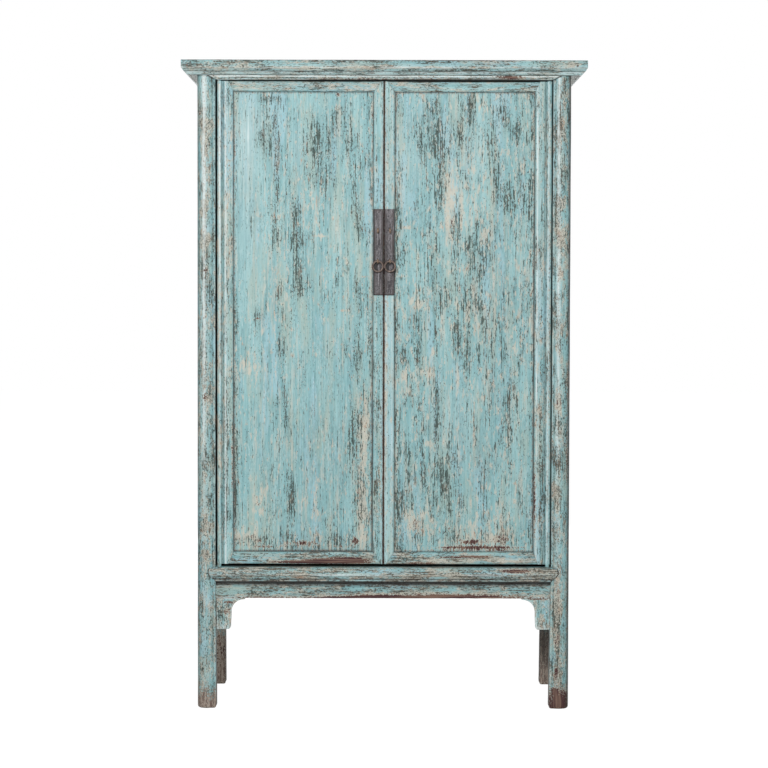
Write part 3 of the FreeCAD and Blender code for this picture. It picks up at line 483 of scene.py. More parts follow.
def bare_elm(name, grain):
    """Unpainted old elm, sawn and darkened: tall growth-ring figures, open-grain lines and a dull face.

    The rings are where a noise drawn out along the grain crosses even levels; the pores are drawn coarser
    than real ones so that they show.
    """
    material, tree = new_material(name)
    _, place = surface_place(tree)
    bands = fibres(tree, place, grain, 18.0, 500.0, 3.0)
    pores = fibres(tree, place, grain, 2.4, 70.0, 3.0, 0.65, 5.0)
    stain = fibres(tree, place, grain, 120.0, 300.0, 3.0, 0.6, 9.0)
    swirl = fibres(tree, place, grain, 80.0, 900.0, 1.0, 0.5, 13.0)
    rings = add(tree, "Math", {0: total(tree, (swirl, 85.0), (pores, 2.5))}, operation="SINE").outputs[0]
    face = Coats(tree, ELM_DARK)
    face.lay(ELM_PALE, total(tree, (bands, 0.6), (pores, 0.35), (rings, 0.05)), 0.34, 0.62)
    face.lay(ELM_RING, rings, 0.45, 0.95, 0.55)
    face.lay(ELM_PORE, pores, 0.55, 0.66, 0.75)
    face.lay(ELM_STAIN, stain, 0.48, 0.68, 0.55)
    face.close(pores, 0.4, total(tree, (pores, 0.25), 0.58), **{"Specular IOR Level": 0.3})
    return material, "bare_wood"


def forged_iron(name, dark, light, rust, rust_level):
    """Hand-forged iron, blackened and rubbed: grey bands, hammer dimples, rust and dark edges.

    Its grit is drawn coarser than real scale so that it shows.
    """
    material, tree = new_material(name)
    _, place = surface_place(tree)
    wear = add(tree, "Attribute", {}, attribute_name="wear").outputs["Fac"]
    hollow = add(tree, "Attribute", {}, attribute_name="hollow").outputs["Fac"]
    bands = fibres(tree, place, "z", 3.5, 70.0, 3.0, 0.6)
    cloud = fibres(tree, place, "z", 8.0, 18.0, 5.0, 0.7, 3.0)
    grit = fibres(tree, place, "z", 2.4, 4.0, 3.0, 0.6, 5.0)
    dimple = fibres(tree, place, "z", 7.0, 9.0, 1.0, 0.5, 9.0)
    face = Coats(tree, dark)
    face.lay(light, total(tree, (bands, 0.35), (cloud, 0.35), (grit, 0.3)), 0.435, 0.565)
    face.lay(rust, total(tree, cloud, (grit, 0.3), (wear, 0.2), rust_level - 0.15), 0.52, 0.68, 0.8)
    # Dark edges, and painted shadow of the ring on its plate
    face.lay(IRON_EDGE_AND_SHADOW, total(tree, hollow, (grit, 0.6), -0.3), 0.2, 0.9)
    relief = total(tree, (dimple, 1.0), (grit, 0.15))
    face.close(relief, 0.8, total(tree, (cloud, 0.3), 0.42), Metallic=0.35)
    return material, "iron"


PANEL_PAINT = worn_paint("milk_paint_panels", "z", soil=-0.03, gesso=0.02, grit=0.28, lines=0.22, brown=-0.02)
POST_PAINT = worn_paint("milk_paint_posts", "z", soil=0.13, gesso=0.09, bare=0.03, dull=0.15, crackle=1.0,
                        stretch=0.5, grit=0.55, lines=0.65, brown=0.06, foot=0.052)
BACK_PAINT = worn_paint("milk_paint_back_posts", "z", soil=0.10, gesso=0.06, bare=0.09, dull=0.3, crackle=0.5,
                        grit=0.6, lines=0.4, brown=0.2, foot=0.16)
STILE_PAINT = worn_paint("milk_paint_stiles", "z", soil=0.05, gesso=0.05, bare=0.02, dull=0.05, crackle=0.3,
                         stretch=0.8, grit=0.45, lines=0.45, brown=0.05)
BRACKET_PAINT = worn_paint("milk_paint_brackets", "z", soil=0.05, gesso=0.11, bare=0.05, dull=0.1,
                           crackle=1.0, stretch=0.4, grit=1.0, lines=0.3, brown=0.08)
EDGE_PAINT = worn_paint("milk_paint_top_edge", "x", soil=0.14, gesso=0.06, bare=0.02, dull=0.3, crackle=0.5,
                        stretch=0.6, grit=0.5, lines=0.5, brown=0.08)
RAIL_PAINT = worn_paint("milk_paint_rails", "x", soil=0.12, gesso=0.09, bare=0.03, dull=0.25, crackle=0.5,
                        stretch=0.7, grit=0.5, lines=0.45, brown=0.14)
SILL_PAINT = worn_paint("milk_paint_sill", "x", soil=0.22, gesso=0.13, bare=0.05, dull=0.5, crackle=0.7,
                        stretch=0.7, grit=0.6, lines=0.55, brown=0.27)
APRON_PAINT = worn_paint("milk_paint_apron", "x", soil=0.17, gesso=0.08, bare=0.05, dull=0.5, crackle=0.7,
                         stretch=0.7, grit=0.6, lines=0.55, brown=0.17)
TOP_PAINT = worn_paint("milk_paint_top_board", "x", soil=0.03, gesso=0.05, bare=0.01, dull=0.15, crackle=0.4,
                       grit=0.4, lines=0.3, brown=0.05)
SIDE_PAINT = worn_paint("milk_paint_side_rails", "y", soil=0.06, gesso=0.05, bare=0.01, dull=0.15,
                        crackle=0.4, stretch=0.8, grit=0.4, lines=0.3, brown=0.05)
ELM = {axis: bare_elm(f"old_elm_{axis}", axis) for axis in "xyz"}
PLATE_IRON = forged_iron("blackened_iron_plates", "#262326", "#7d7a7d", "#3a3230", 0.0)
PIN_IRON = forged_iron("rubbed_iron_pins", "#625349", "#c6b5a5", "#7d6450", 0.0)
RING_IRON = forged_iron("rubbed_iron_rings", "#463c37", "#8a7b71", "#5b4b45", 0.05)


# Weathered places, painted shade and shadow, and painted highlights: across from the cabinet's middle,
# height, half width, half height, amount

FRONT_DEPTH = 14.0
FRONT_FADE = 10.0


def spread(points, spots):
    """The sum of soft oval spots, amount * exp(-(dx / half width)^2 - (dz / half height)^2), on a front face.

    The sum fades as a bell curve from some way behind the foremost point.
    """
    amount = np.zeros(points.shape[:2])
    for x, z, wide, tall, strength in spots:
        amount += strength * bell(np.hypot((points[..., 0] - x) / wide, (points[..., 2] - z) / tall), 1.0)
    behind = points[..., 1] - points[..., 1].min()
    return amount * bell(np.maximum(behind - FRONT_DEPTH, 0.0), FRONT_FADE)


LEFT_SOIL = [
    (-299, 1590, 8, 95, 1.7), (-299, 1470, 6, 60, 1.1), (-170, 1590, 52, 70, 1.1),
    (-336, 1585, 30, 30, 0.9), (-315, 1695, 46, 10, 1.2), (-190, 1475, 26, 36, 0.9),
    (-72, 1420, 14, 100, 0.8), (-66, 1330, 6, 22, 1.7), (-242, 1306, 28, 24, 1.8),
    (-254, 1370, 10, 46, 1.4), (-302, 1325, 10, 55, 1.1), (-236, 1228, 16, 32, 0.9),
    (-236, 1176, 28, 28, 1.5), (-291, 1163, 9, 22, 1.6), (-130, 1248, 14, 16, 0.9),
    (-75, 1158, 18, 46, 1.4), (-351, 1094, 15, 30, 1.3), (-408, 1100, 11, 50, 1.0),
    (-130, 1195, 8, 20, 0.9), (-76, 990, 12, 90, 1.3), (-285, 1020, 14, 40, 0.9), (-272, 820, 9, 70, 1.1),
    (-306, 855, 12, 40, 0.9), (-78, 770, 16, 60, 1.6), (-409, 700, 7, 170, 1.5), (-258, 590, 14, 75, 1.6),
    (-66, 590, 16, 110, 1.7), (-370, 470, 40, 14, 1.1), (-250, 478, 90, 16, 0.8), (-130, 475, 40, 20, 1.0),
    (-230, 452, 170, 12, 0.75), (-200, 1540, 120, 130, 0.35), (-390, 1400, 30, 300, -0.7),
    (-120, 1310, 40, 90, -0.6), (-190, 1060, 60, 60, -0.5), (-345, 820, 50, 150, -0.6),
    (-165, 800, 60, 200, -0.6), (-350, 1240, 30, 80, -0.5), (-200, 1690, 60, 30, -0.6),
]
LEFT_GESSO = [
    (-178, 1317, 17, 3, 1.8), (-56, 1205, 9, 3, 1.6), (-110, 1110, 14, 3, 1.4), (-360, 1560, 30, 90, -0.6),
    (-395, 1350, 30, 220, -0.7), (-200, 1420, 40, 60, 0.5), (-290, 1230, 30, 160, 0.4),
    (-375, 950, 30, 40, 0.8), (-56, 780, 12, 90, 1.7), (-170, 900, 60, 80, -0.4), (-58, 560, 14, 120, 1.7),
    (-350, 580, 16, 36, 1.0), (-380, 480, 40, 30, 0.8), (-190, 560, 12, 90, 0.7), (-230, 458, 150, 20, 0.3),
    (-220, 490, 190, 50, 0.1),
]
LEFT_BARE = [
    (-351, 1087, 10, 2.5, 2.2), (-332, 1084, 4, 4, 1.6), (-126, 1705, 10, 6, 1.6), (-350, 575, 14, 30, 1.0),
    (-365, 480, 12, 14, 1.4), (-345, 468, 10, 8, 1.5), (-70, 600, 12, 70, 1.0), (-78, 470, 14, 14, 2.0),
    (-225, 462, 60, 10, 1.8), (-330, 452, 60, 5, 1.6), (-120, 452, 40, 5, 1.5), (-220, 905, 14, 20, 0.7),
    (-75, 700, 12, 40, 0.8),
]
RIGHT_SOIL = [
    (125, 1675, 24, 30, 1.0), (148, 1640, 10, 60, 1.2), (140, 1580, 50, 70, 0.7), (212, 1590, 9, 60, 1.1),
    (242, 1650, 10, 60, 1.0), (306, 1560, 10, 130, 0.9), (365, 1600, 12, 34, 1.0), (335, 1630, 10, 36, 0.8),
    (160, 1440, 9, 60, 1.1), (235, 1240, 60, 90, 0.6), (284, 1240, 9, 40, 1.0), (56, 1265, 9, 40, 1.0),
    (345, 1420, 40, 110, 0.5), (160, 1130, 26, 40, 0.9), (243, 1110, 10, 40, 0.8), (92, 1090, 10, 30, 0.9),
    (54, 985, 9, 36, 1.0), (96, 990, 9, 34, 1.0), (204, 1040, 12, 50, 1.0), (234, 975, 7, 120, 1.7),
    (302, 970, 6, 90, 1.5), (337, 990, 10, 26, 1.0), (376, 965, 8, 36, 0.8), (146, 790, 6, 110, 1.6),
    (111, 650, 6, 90, 1.4), (352, 760, 6, 90, 1.4), (70, 660, 6, 70, 1.3), (163, 665, 6, 60, 1.3),
    (180, 640, 6, 80, 1.4), (342, 840, 8, 60, 1.0), (330, 740, 8, 50, 1.0), (74, 580, 10, 30, 1.0),
    (218, 570, 10, 45, 1.0), (50, 520, 7, 80, 1.1), (275, 640, 14, 60, 0.7), (230, 480, 150, 20, 0.6),
    (250, 866, 50, 60, -0.6), (238, 680, 24, 90, -0.6), (390, 800, 24, 220, -0.5),
    (60, 1480, 24, 160, -0.4), (260, 1380, 50, 60, -0.4),
]
RIGHT_GESSO = [
    (64, 1341, 22, 3, 1.6), (55, 1206, 13, 3, 1.4), (265, 1680, 24, 20, 0.8), (178, 1440, 20, 70, 0.9),
    (245, 1490, 14, 70, 0.7), (280, 1330, 14, 60, 0.8), (200, 1370, 30, 60, 0.6), (90, 1130, 26, 20, 0.9),
    (240, 1100, 40, 40, 0.5), (60, 920, 18, 60, 0.7), (125, 940, 18, 24, 0.9), (180, 820, 50, 60, -0.5),
    (95, 530, 40, 34, 1.0), (260, 478, 110, 24, 0.5), (220, 500, 190, 50, 0.1), (330, 520, 30, 60, 0.6),
    (400, 700, 20, 200, -0.5), (80, 1480, 26, 160, -0.4),
]
RIGHT_BARE = [
    (188, 1350, 7, 26, 1.3), (128, 1288, 12, 12, 1.2), (327, 1244, 10, 14, 0.9), (92, 505, 34, 30, 0.8),
    (240, 466, 60, 11, 2.0), (335, 474, 26, 22, 1.7), (250, 450, 150, 5, 2.4), (85, 520, 40, 40, 0.5),
    (275, 620, 10, 30, 0.8), (366, 985, 6, 10, 1.2), (145, 855, 8, 12, 0.9), (190, 500, 40, 16, 0.9),
    (230, 1340, 10, 10, 0.6),
]
SPOTS = {
    "left_panel": {
        "soil": LEFT_SOIL,
        "gesso": LEFT_GESSO,
        "bare": LEFT_BARE,
        "wear": [
            (-385, 1590, 34, 120, 0.5), (-340, 1640, 30, 50, 0.3), (-375, 1380, 30, 160, 0.3),
            (-240, 1560, 20, 60, 0.3),
        ],
        "hollow": [(-170, 680, 260, 420, 0.32), (-200, 450, 240, 50, 0.12)],
    },
    "right_panel": {
        "soil": RIGHT_SOIL,
        "gesso": RIGHT_GESSO,
        "bare": RIGHT_BARE,
        "wear": [
            (190, 1420, 40, 120, 0.35), (250, 1560, 30, 90, 0.3), (70, 1560, 30, 100, 0.25),
            (200, 800, 60, 90, 0.2),
        ],
        "hollow": [(340, 1180, 90, 220, 0.32), (270, 740, 190, 220, 0.31), (110, 1640, 90, 80, 0.28)],
    },
    "front_left_upright": {
        "gesso": [
            (-493, 1550, 14, 110, 1.2), (-499, 1391, 8, 24, 1.4), (-495, 1305, 10, 24, 2.2),
            (-485, 860, 8, 30, 1.3), (-484, 800, 8, 24, 1.2), (-490, 509, 12, 40, 1.6),
            (-492, 428, 14, 16, 1.8),
        ],
        "soil": [
            (-494, 1249, 9, 36, 1.4), (-493, 1168, 8, 34, 1.5), (-493, 1120, 6, 14, 1.2),
            (-495, 690, 8, 26, 1.3),
        ],
        "bare": [
            (-495, 870, 5, 12, 1.6), (-492, 1222, 6, 6, 1.4), (-490, 520, 8, 26, 0.8),
            (-510, 1652, 3, 8, 2.0),
        ],
        "hollow": [(-480, 773, 9, 1.8, 1.0)],
    },
    "front_right_upright": {
        "gesso": [
            (487, 1605, 10, 30, 1.4), (495, 1413, 14, 26, 1.4), (493, 1313, 16, 34, 1.9),
            (489, 1215, 9, 28, 1.4), (487, 857, 7, 18, 1.6), (476, 606, 9, 20, 2.0),
            (484, 290, 12, 64, 2.2), (484, 160, 12, 60, 1.2),
        ],
        "soil": [
            (487, 1605, 7, 24, 1.2), (493, 1466, 5, 34, 1.6), (475, 1094, 8, 28, 2.8),
            (492, 687, 30, 60, 0.8), (485, 210, 8, 40, 2.0), (482, 120, 9, 34, 2.2),
        ],
        "bare": [
            (490, 1320, 14, 24, 0.8), (489, 1215, 6, 24, 0.8), (487, 873, 7, 2.5, 1.8),
            (482, 857, 2, 16, 1.6), (492, 857, 2, 16, 1.6), (480, 190, 8, 20, 1.0), (482, 95, 9, 12, 1.2),
            (510, 700, 5, 100, 1.3), (511, 880, 4, 60, 1.0), (476, 612, 7, 10, 1.4), (479, 50, 6, 6, 2.6),
            (493, 14, 40, 52, 2.6), (488, 325, 6, 34, 1.1), (484, 112, 6, 12, 1.6), (490, 205, 5, 16, 1.3),
        ],
        "hollow": [(493, 372, 30, 1.4, 0.8)],
    },
    # The plates are darkened along their edges, and the ring's painted shadow is a dark disc with a lighter
    # one set off-centre in it, leaving a crescent
    "left_plate": {
        "hollow": [
            (-2, 1270, 2.5, 300, 0.8), (-29, 1270, 3.2, 300, 1.2), (-16, 1152, 30, 2.5, 1.0),
            (-17.5, 1232, 11.5, 11.5, 4.0), (-14.8, 1231, 8, 8, -4.6),
        ],
    },
    "right_plate": {
        "hollow": [
            (2, 1270, 2.5, 300, 0.8), (29, 1270, 2.2, 300, 1.0), (16, 1152, 30, 2.5, 1.0),
            (16.5, 1232.5, 11.5, 11.5, 4.0), (18.8, 1231.2, 8, 8, -4.6),
        ],
    },
    # Cream ground and bare wood at the foot; the cream also lightens the leg where it stands in the cabinet's
    # shade, a painted light
    "back_left_upright": {
        "bare": [(-490, 110, 40, 70, 1.0)],
        "gesso": [(-480, 60, 30, 60, 1.2)],
    },
    # Bare wood low on the back right leg; the soil and dark spots here are painted shade for the shadow it
    # stands in
    "back_right_upright": {
        "bare": [(490, 120, 40, 90, 0.7)],
        "soil": [(490, 160, 40, 80, 1.2)],
        "hollow": [(490, 130, 60, 140, 0.8)],
    },
    "left_pivot_stile": {
        "bare": [(-421, 690, 4, 150, 1.5), (-461, 900, 3, 600, 0.7), (-428, 1500, 5, 60, 1.0)],
        "gesso": [(-459, 1000, 7, 700, 0.9), (-432, 1350, 12, 300, 0.8)],
        "wear": [(-457, 1500, 8, 300, 0.3), (-457, 620, 9, 300, -0.4)],
        "soil": [(-437, 1000, 4, 700, 0.3), (-438, 600, 7, 220, 0.9)],
    },
    "right_pivot_stile": {
        "bare": [(419, 590, 5, 130, 2.4), (461, 1000, 3, 700, 1.0)],
        "wear": [(419, 600, 7, 170, -0.9)],
        "gesso": [(430, 800, 10, 160, 1.0)],
        "soil": [(437, 1000, 4, 700, 0.4), (440, 640, 7, 200, 1.0)],
    },
    "left_meeting_stile": {
        "soil": [(-16, 800, 10, 420, 0.45)],
        "bare": [(-12, 640, 8, 200, 0.9)],
    },
    "right_meeting_stile": {
        "wear": [(16, 1000, 18, 700, 0.35)],
        "gesso": [(6, 1000, 5, 600, 0.9)],
        "soil": [(20, 900, 20, 700, -0.5)],
    },
    # Painted shade along the door's top edge, under the lintel
    "left_top_rail": {
        "hollow": [(-90, 1744.5, 110, 1.6, 1.0)],
    },
    "right_top_rail": {
        "hollow": [(240, 1744.5, 200, 2.4, 1.6)],
    },
    "lintel": {
        "gesso": [(0, 1759, 480, 2.5, 2.2), (-330, 1756, 130, 4, 1.0)],
        "bare": [
            (-230, 1749, 90, 3, 0.6), (-40, 1749, 120, 2.5, 1.3), (150, 1750, 80, 3, 0.7),
            (345, 1754, 38, 4, 2.2),
        ],
        "soil": [(345, 1753, 50, 6, 1.5), (0, 1752, 480, 4, 0.9)],
        # Painted shade along the gap under the lintel
        "hollow": [(0, 1746.5, 480, 1.6, 1.2), (250, 1746.5, 220, 2.6, 1.6)],
    },
    "top_front_edge": {
        "gesso": [
            (-530, 1778, 40, 7, 1.2), (0, 1779, 560, 2.5, 1.6), (-180, 1776, 160, 3, 1.2),
            (0, 1781, 16, 6, 4.6), (-430, 1788, 120, 8, 0.9), (515, 1788, 22, 4, 1.6),
        ],
        "soil": [
            (-380, 1796, 60, 4, 1.0), (-460, 1786, 80, 9, 0.8), (-100, 1797, 160, 4, 1.2),
            (100, 1798, 130, 3, 1.2), (-150, 1767, 160, 3, 1.2), (200, 1770, 220, 5, 0.9),
        ],
        "bare": [(-60, 1799, 12, 3, 1.2), (120, 1798, 40, 3, 1.0), (330, 1799, 24, 3, 1.0)],
        "hollow": [
            (0, 1801, 900, 5, 0.7), (-490, 1776, 1.5, 10, 0.9), (-438, 1784, 1.5, 10, 0.9),
            (-443, 1772, 1.5, 6, 0.9),
        ],
    },
    "sill": {
        "gesso": [
            (-231, 375, 24, 9, 2.6), (209, 376, 9, 7, 2.2), (-330, 374, 120, 3, 1.2),
            (100, 374, 240, 3, 0.9),
        ],
        "bare": [
            (366, 386, 40, 5, 2.8), (-262, 384, 30, 3, 1.2), (-180, 388, 200, 2, 0.6), (0, 392, 90, 3, 0.8),
        ],
        "soil": [(442, 380, 26, 12, 2.2), (260, 376, 60, 9, 0.8), (-465, 368, 10, 12, 1.5)],
    },
    "front_apron_board": {
        "gesso": [
            (-60, 318, 90, 5, 1.2), (150, 320, 180, 5, 1.6), (-300, 325, 90, 4, 1.2),
            (400, 322, 60, 4, 0.8),
        ],
        "bare": [
            (-30, 311, 70, 6, 2.0), (190, 312, 210, 9, 2.2), (-150, 309, 70, 5, 1.4),
            (-330, 309, 90, 4, 1.2),
        ],
        "soil": [(-200, 326, 40, 4, 1.0), (300, 335, 120, 10, 0.6)],
        # Painted shadow of the sill along the apron's top
        "hollow": [(0, 356, 1200, 15, 1.3)],
    },
    "front_left_bracket": {
        "bare": [(-432, 296, 20, 4, 1.8), (-440, 268, 7, 9, 1.5), (-430, 276, 5, 8, 1.2)],
        "soil": [(-455, 260, 10, 30, 1.0)],
    },
    "front_right_bracket": {
        "bare": [(432, 306, 30, 3, 1.2)],
        "gesso": [(440, 245, 6, 24, 1.6)],
    },
    "left_bottom_rail": {
        "bare": [
            (-150, 414, 90, 7, 2.4), (-250, 409, 80, 4, 2.0), (-90, 417, 50, 9, 1.8),
            (-120, 408, 90, 3.5, 1.8),
        ],
        "gesso": [(-330, 420, 60, 7, 1.1), (-60, 420, 30, 8, 1.2), (-200, 428, 160, 5, 0.5)],
        "soil": [(-100, 424, 60, 10, 1.6), (-250, 422, 160, 12, 0.4)],
    },
    "right_bottom_rail": {
        "bare": [(200, 424, 70, 3.5, 1.7), (270, 426, 50, 3.5, 1.7), (110, 407, 80, 3.5, 2.0)],
        "gesso": [(150, 416, 90, 6, 1.4), (320, 418, 80, 7, 1.4), (60, 425, 40, 6, 1.0)],
        "soil": [(240, 424, 90, 5, 1.2), (60, 412, 30, 8, 1.0)],
    },
}


# Case

TOP_X, TOP_Y, TOP_FACE = span("top_back_member")[1]
TOP_UNDER = span("top_front_member")[0][2]
TOP_THICK = TOP_FACE - TOP_UNDER
TOP_WIDE = span("top_front_member")[1][1] + TOP_Y
POST_X, POST_Y = span("back_right_post")[1][:2]
POST_INNER_X, POST_INNER_Y = span("back_right_post")[0][:2]
POST_WIDE = 52.0
SILL_TOP = span("front_sill")[1][2]
LINTEL_UNDER = span("front_lintel")[0][2]
SIDES = (("left", -1.0), ("right", 1.0))
PROUD = 2.5
LUG_REACH = 469.0
NAIL_RADIUS = 3.2
BOARDS_APART = 100.0
LINING_DEPTH = 1.5

# Each side's posts: how much wider the leg is at the floor, and on its outline the place of the painted
# highlight over rubbed paint, its strength, and the strength of the painted shade and dirt on the outer
# corner
POST_LOOKS = {
    "left": (0.035, (20.0, 0.0), 1.15, 0.5),
    "right": (0.085, (36.0, 1.6), 0.7, 0.8),
}
# Centre of the outer corner's painted shade and dirt; the painted highlight weakens towards the floor, to its
# least share below its low height
DARK_CORNER = (2.0, 12.0)
GLEAM_LOW, GLEAM_RISE, GLEAM_LEAST = 200.0, 900.0, 0.3


def build_top():
    """Mitred moulded members round a flat panel, with two old nails in the front edge.

    Each point of a member stops short of the corner by its distance from the outer edge: the mitre.
    """
    corners = [
        (0.0, TOP_THICK, 2.0, 0.1),
        (0.0, 18.0, 2.0, 0.7),
        (3.2, 14.6, 1.0, -0.3),
        (6.5, 8.6, 7.0, -0.6),
        (10.5, 7.2, 0.6, 0.8),
        (12.4, 3.4, 2.5),
        (15.0, 0.0, 0.6, 0.7),
        (TOP_WIDE, 0.0),
        (TOP_WIDE, TOP_THICK, 0.8, 0.3),
    ]
    edge = Outline(corners)
    away = edge.points[:, 0]
    for seed, (end, sign) in enumerate((("front", -1.0), ("back", 1.0)), start=1):
        grid = carry(edge, lambda a, b, along: (along, sign * (TOP_Y - a), TOP_UNDER + b),
                     away - TOP_X, TOP_X - away, seed, spacing=9.0)
        make(f"top_{end}_edge", "case", [f"top_{end}_member"], EDGE_PAINT, [grid], seed)
    for seed, (side, sign) in enumerate(SIDES, start=3):
        grid = carry(edge, lambda a, b, along: (sign * (TOP_X - a), along, TOP_UNDER + b),
                     away - TOP_Y, TOP_Y - away, seed, spacing=9.0)
        # The undersides of the side members are painted pale: painted light, as if lit from below
        grid["wear"] = grid["wear"] + np.where((edge.points[:, 1] < 0.5) & (away > 16.0), 2.0, 0.0)
        make(f"top_{side}_edge", "case", [f"top_{side}_member"], SIDE_PAINT, [grid], seed)
    open_x, open_y = TOP_X - TOP_WIDE - 0.3, TOP_Y - TOP_WIDE - 0.3
    low = (-open_x, -open_y, span("top_panel")[0][2])
    grid = board(low, (open_x, open_y, TOP_FACE - 0.4), "x", 5)
    make("top_board", "case", ["top_panel"], TOP_PAINT, [grid], 5)
    make("top_cross_battens", "case", ["top_battens"], ELM["y"], node_boards("top_battens", "x", "y"), 6)
    heads = []
    low, high = span("top_nails")
    height = (low[2] + high[2]) / 2.0
    for x in (low[0] + NAIL_RADIUS, high[0] - NAIL_RADIUS):
        head = carry(round_outline(NAIL_RADIUS), lambda a, b, along: (x + a, along, height + b),
                     low[1] + 0.05, high[1], 7, (0.8, 0.5), 4.0, 0.1)
        heads.append(head)
    make("old_nails", "case", ["top_nails"], RING_IRON, heads, 7)


def node_boards(node, apart, grain):
    """One board for each solid of a node whose solids stand apart along an axis."""
    places = np.array([tuple(vertex.co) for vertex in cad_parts[node].data.vertices]) / MM
    axis = "xyz".index(apart)
    order = places[np.argsort(places[:, axis])]
    breaks = np.nonzero(np.diff(order[:, axis]) > BOARDS_APART)[0] + 1
    groups = np.split(order, breaks)
    return [board(group.min(0), group.max(0), grain, 8 + i) for i, group in enumerate(groups)]


def build_posts():
    """Posts with a round outer corner, a quirk and a small bead beside each opening.

    The legs widen downwards, by a share that falls evenly from the floor to the sill.
    """
    corners = [
        (0.0, 0.0, 24.0),
        (33.8, 1.0, 35.0, 0.2),
        (43.0, 4.6, 0.8),
        (44.6, 6.8, 0.4, -0.35),
        (46.0, 5.4, 1.6, -0.2),
        (POST_WIDE, 5.4, 1.8, 0.3),
        (POST_WIDE, POST_WIDE, 1.0, 0.3),
        (5.4, POST_WIDE, 1.8, 0.3),
        (5.4, 46.0, 1.6, -0.2),
        (6.8, 44.6, 0.4, -0.35),
        (4.6, 43.0, 0.8),
        (1.0, 33.8, 35.0, 0.2),
    ]
    shape = Outline(corners, 4.0)
    # Painted shade on the inner face beside the opening, and painted shade with dirt on the outer corner
    inside = bell(POST_WIDE - shape.points[:, 0], 0.7) * (shape.points[:, 1] > 8.5)
    corner = bell(np.hypot(*(shape.points - DARK_CORNER).T), 11.0)
    seed = 20
    for end, way, finish in (("front", -1.0, POST_PAINT), ("back", 1.0, BACK_PAINT)):
        for side, sign in SIDES:
            flare, shine, gleam, shade = POST_LOOKS[side]

            def plan(a, b, along):
                wider = 1.0 + flare * np.clip(1.0 - along / SILL_TOP, 0.0, 1.0)
                return sign * (POST_X - a * wider), way * (POST_Y - b), along

            grid = carry(shape, plan, 0.0, TOP_UNDER + 0.5, seed, (7.0, 0.0), 9.0, 0.5, 1.4)
            grid["hollow"] = grid["hollow"] + shade * corner + 0.7 * inside
            # A painted highlight down the post, weaker towards the floor
            rise = np.clip((grid["points"][..., 2] - GLEAM_LOW) / GLEAM_RISE, 0.0, 1.0)
            upper = GLEAM_LEAST + (1.0 - GLEAM_LEAST) * rise
            grid["wear"] = grid["wear"] + gleam * upper * bell(np.hypot(*(shape.points - shine).T), 8.0)
            make(f"{end}_{side}_upright", "case", [f"{end}_{side}_post"], finish, [grid], seed)
            seed += 1


def build_front_rails():
    """Lintel and sill, whose ends lap the posts with lugs.

    The lintel's reach grows evenly with height; the sill's goes in straight runs between given heights.
    """
    low, high = span("front_lintel")
    front, tall, deep = low[1] - PROUD, high[2] - low[2], high[1] - low[1]
    corners = [
        (0.4, tall, 1.5, 1.4),
        (0.4, tall * 0.45, 3.0, 0.0),
        (2.2, 0.0, 2.0, 0.8),
        (deep, 0.0),
        (deep, tall),
    ]
    shape = Outline(corners, 4.0)
    reach = LUG_REACH + 21.0 * shape.points[:, 1] / tall
    grid = carry(shape, lambda a, b, along: (along, front + a, low[2] + b), -reach, reach, 30,
                 (3.0, 3.0), 7.0, bite=1.6, seam=1.7)
    make("lintel", "case", ["front_lintel"], RAIL_PAINT, [grid], 30)

    low, high = span("front_sill")
    front, tall, deep = low[1] - PROUD, high[2] - low[2], high[1] - low[1]
    corners = [
        (6.5, tall, 3.0, -0.3),
        (1.6, 33.0, 14.0, 0.1),
        (0.0, 18.5, 2.0, 0.7),
        (4.6, 13.0, 7.0, -0.3),
        (5.4, 7.5, 0.5, -0.8),
        (2.8, 3.6, 2.2, 0.3),
        # The under edge carries dirt and painted shade
        (3.6, 0.0, 1.0, -1.2),
        (deep, 0.0),
        (deep, tall),
    ]
    shape = Outline(corners, 3.0)
    heights = (0.0, 0.12, 0.28, 0.6, 0.85, 1.0)
    reaches = (LUG_REACH, 471.0, 482.0, 489.0, 488.0, 486.0)
    reach = np.interp(shape.points[:, 1] / tall, heights, reaches)
    grid = carry(shape, lambda a, b, along: (along, front + a, low[2] + b), -reach, reach, 31,
                 (3.5, 3.5), 7.0, bite=1.6, seam=1.7)
    make("sill", "case", ["front_sill"], SILL_PAINT, [grid], 31)


def bracket(width, leg, tall):
    """Outline of a bracket: straight by the post, rounded toe, concave quarter curve up to a thin tip."""
    curve = width - leg - 3.0
    corners = [
        (0.0, 0.0, 1.5, 0.6),
        (leg, 0.0, 9.0, 0.7),
        (leg + 3.0, tall - 1.5, curve, 0.5),
        (width, tall - 1.5, 0.0, 0.6),
        (width, tall),
        (0.0, tall),
    ]
    return Outline(corners, 3.0)


def build_aprons():
    """Aprons under the rails with their brackets."""
    grid = board(*span("front_apron"), "x", 40, 2.4, 1.0, 7.0, 4.0, 0.5)
    make("front_apron_board", "case", ["front_apron"], APRON_PAINT, [grid], 40)
    for seed, (side, sign) in enumerate(SIDES, start=41):
        low, high = span(f"front_{side}_spandrel")
        shape = bracket(high[0] - low[0], 42.0, high[2] - low[2])
        grid = carry(shape, lambda a, b, along: (sign * (POST_INNER_X - a), along, low[2] + b),
                     low[1], high[1], seed, (1.6, 1.6), 4.0, 0.3, heart=(20.0, 80.0))
        # Dirt and painted shade where the bracket meets the post
        grid["hollow"] = grid["hollow"] + bell(POST_INNER_X - np.abs(grid["points"][..., 0]), 3.0)
        make(f"front_{side}_bracket", "case", [f"front_{side}_spandrel"], BRACKET_PAINT, [grid], seed)
        node = f"{side}_side_apron"
        grid = board(*span(node), "y", seed + 2, 2.0, 1.0, 8.0, 4.0)
        make(f"{side}_apron_board", "case", [node], SIDE_PAINT, [grid], seed + 2)
        low, high = span(f"{side}_side_spandrels")
        shape = bracket(62.0, 23.5, high[2] - low[2])
        grids = [carry(shape, lambda a, b, along: (along, way * (POST_INNER_Y - a), low[2] + b),
                       low[0], high[0], seed + 4, (1.6, 1.6), 4.0, 0.3, heart=(10.0, 80.0))
                 for way in (-1.0, 1.0)]
        make(f"{side}_side_brackets", "case", [f"{side}_side_spandrels"], BRACKET_PAINT, grids, seed + 4)


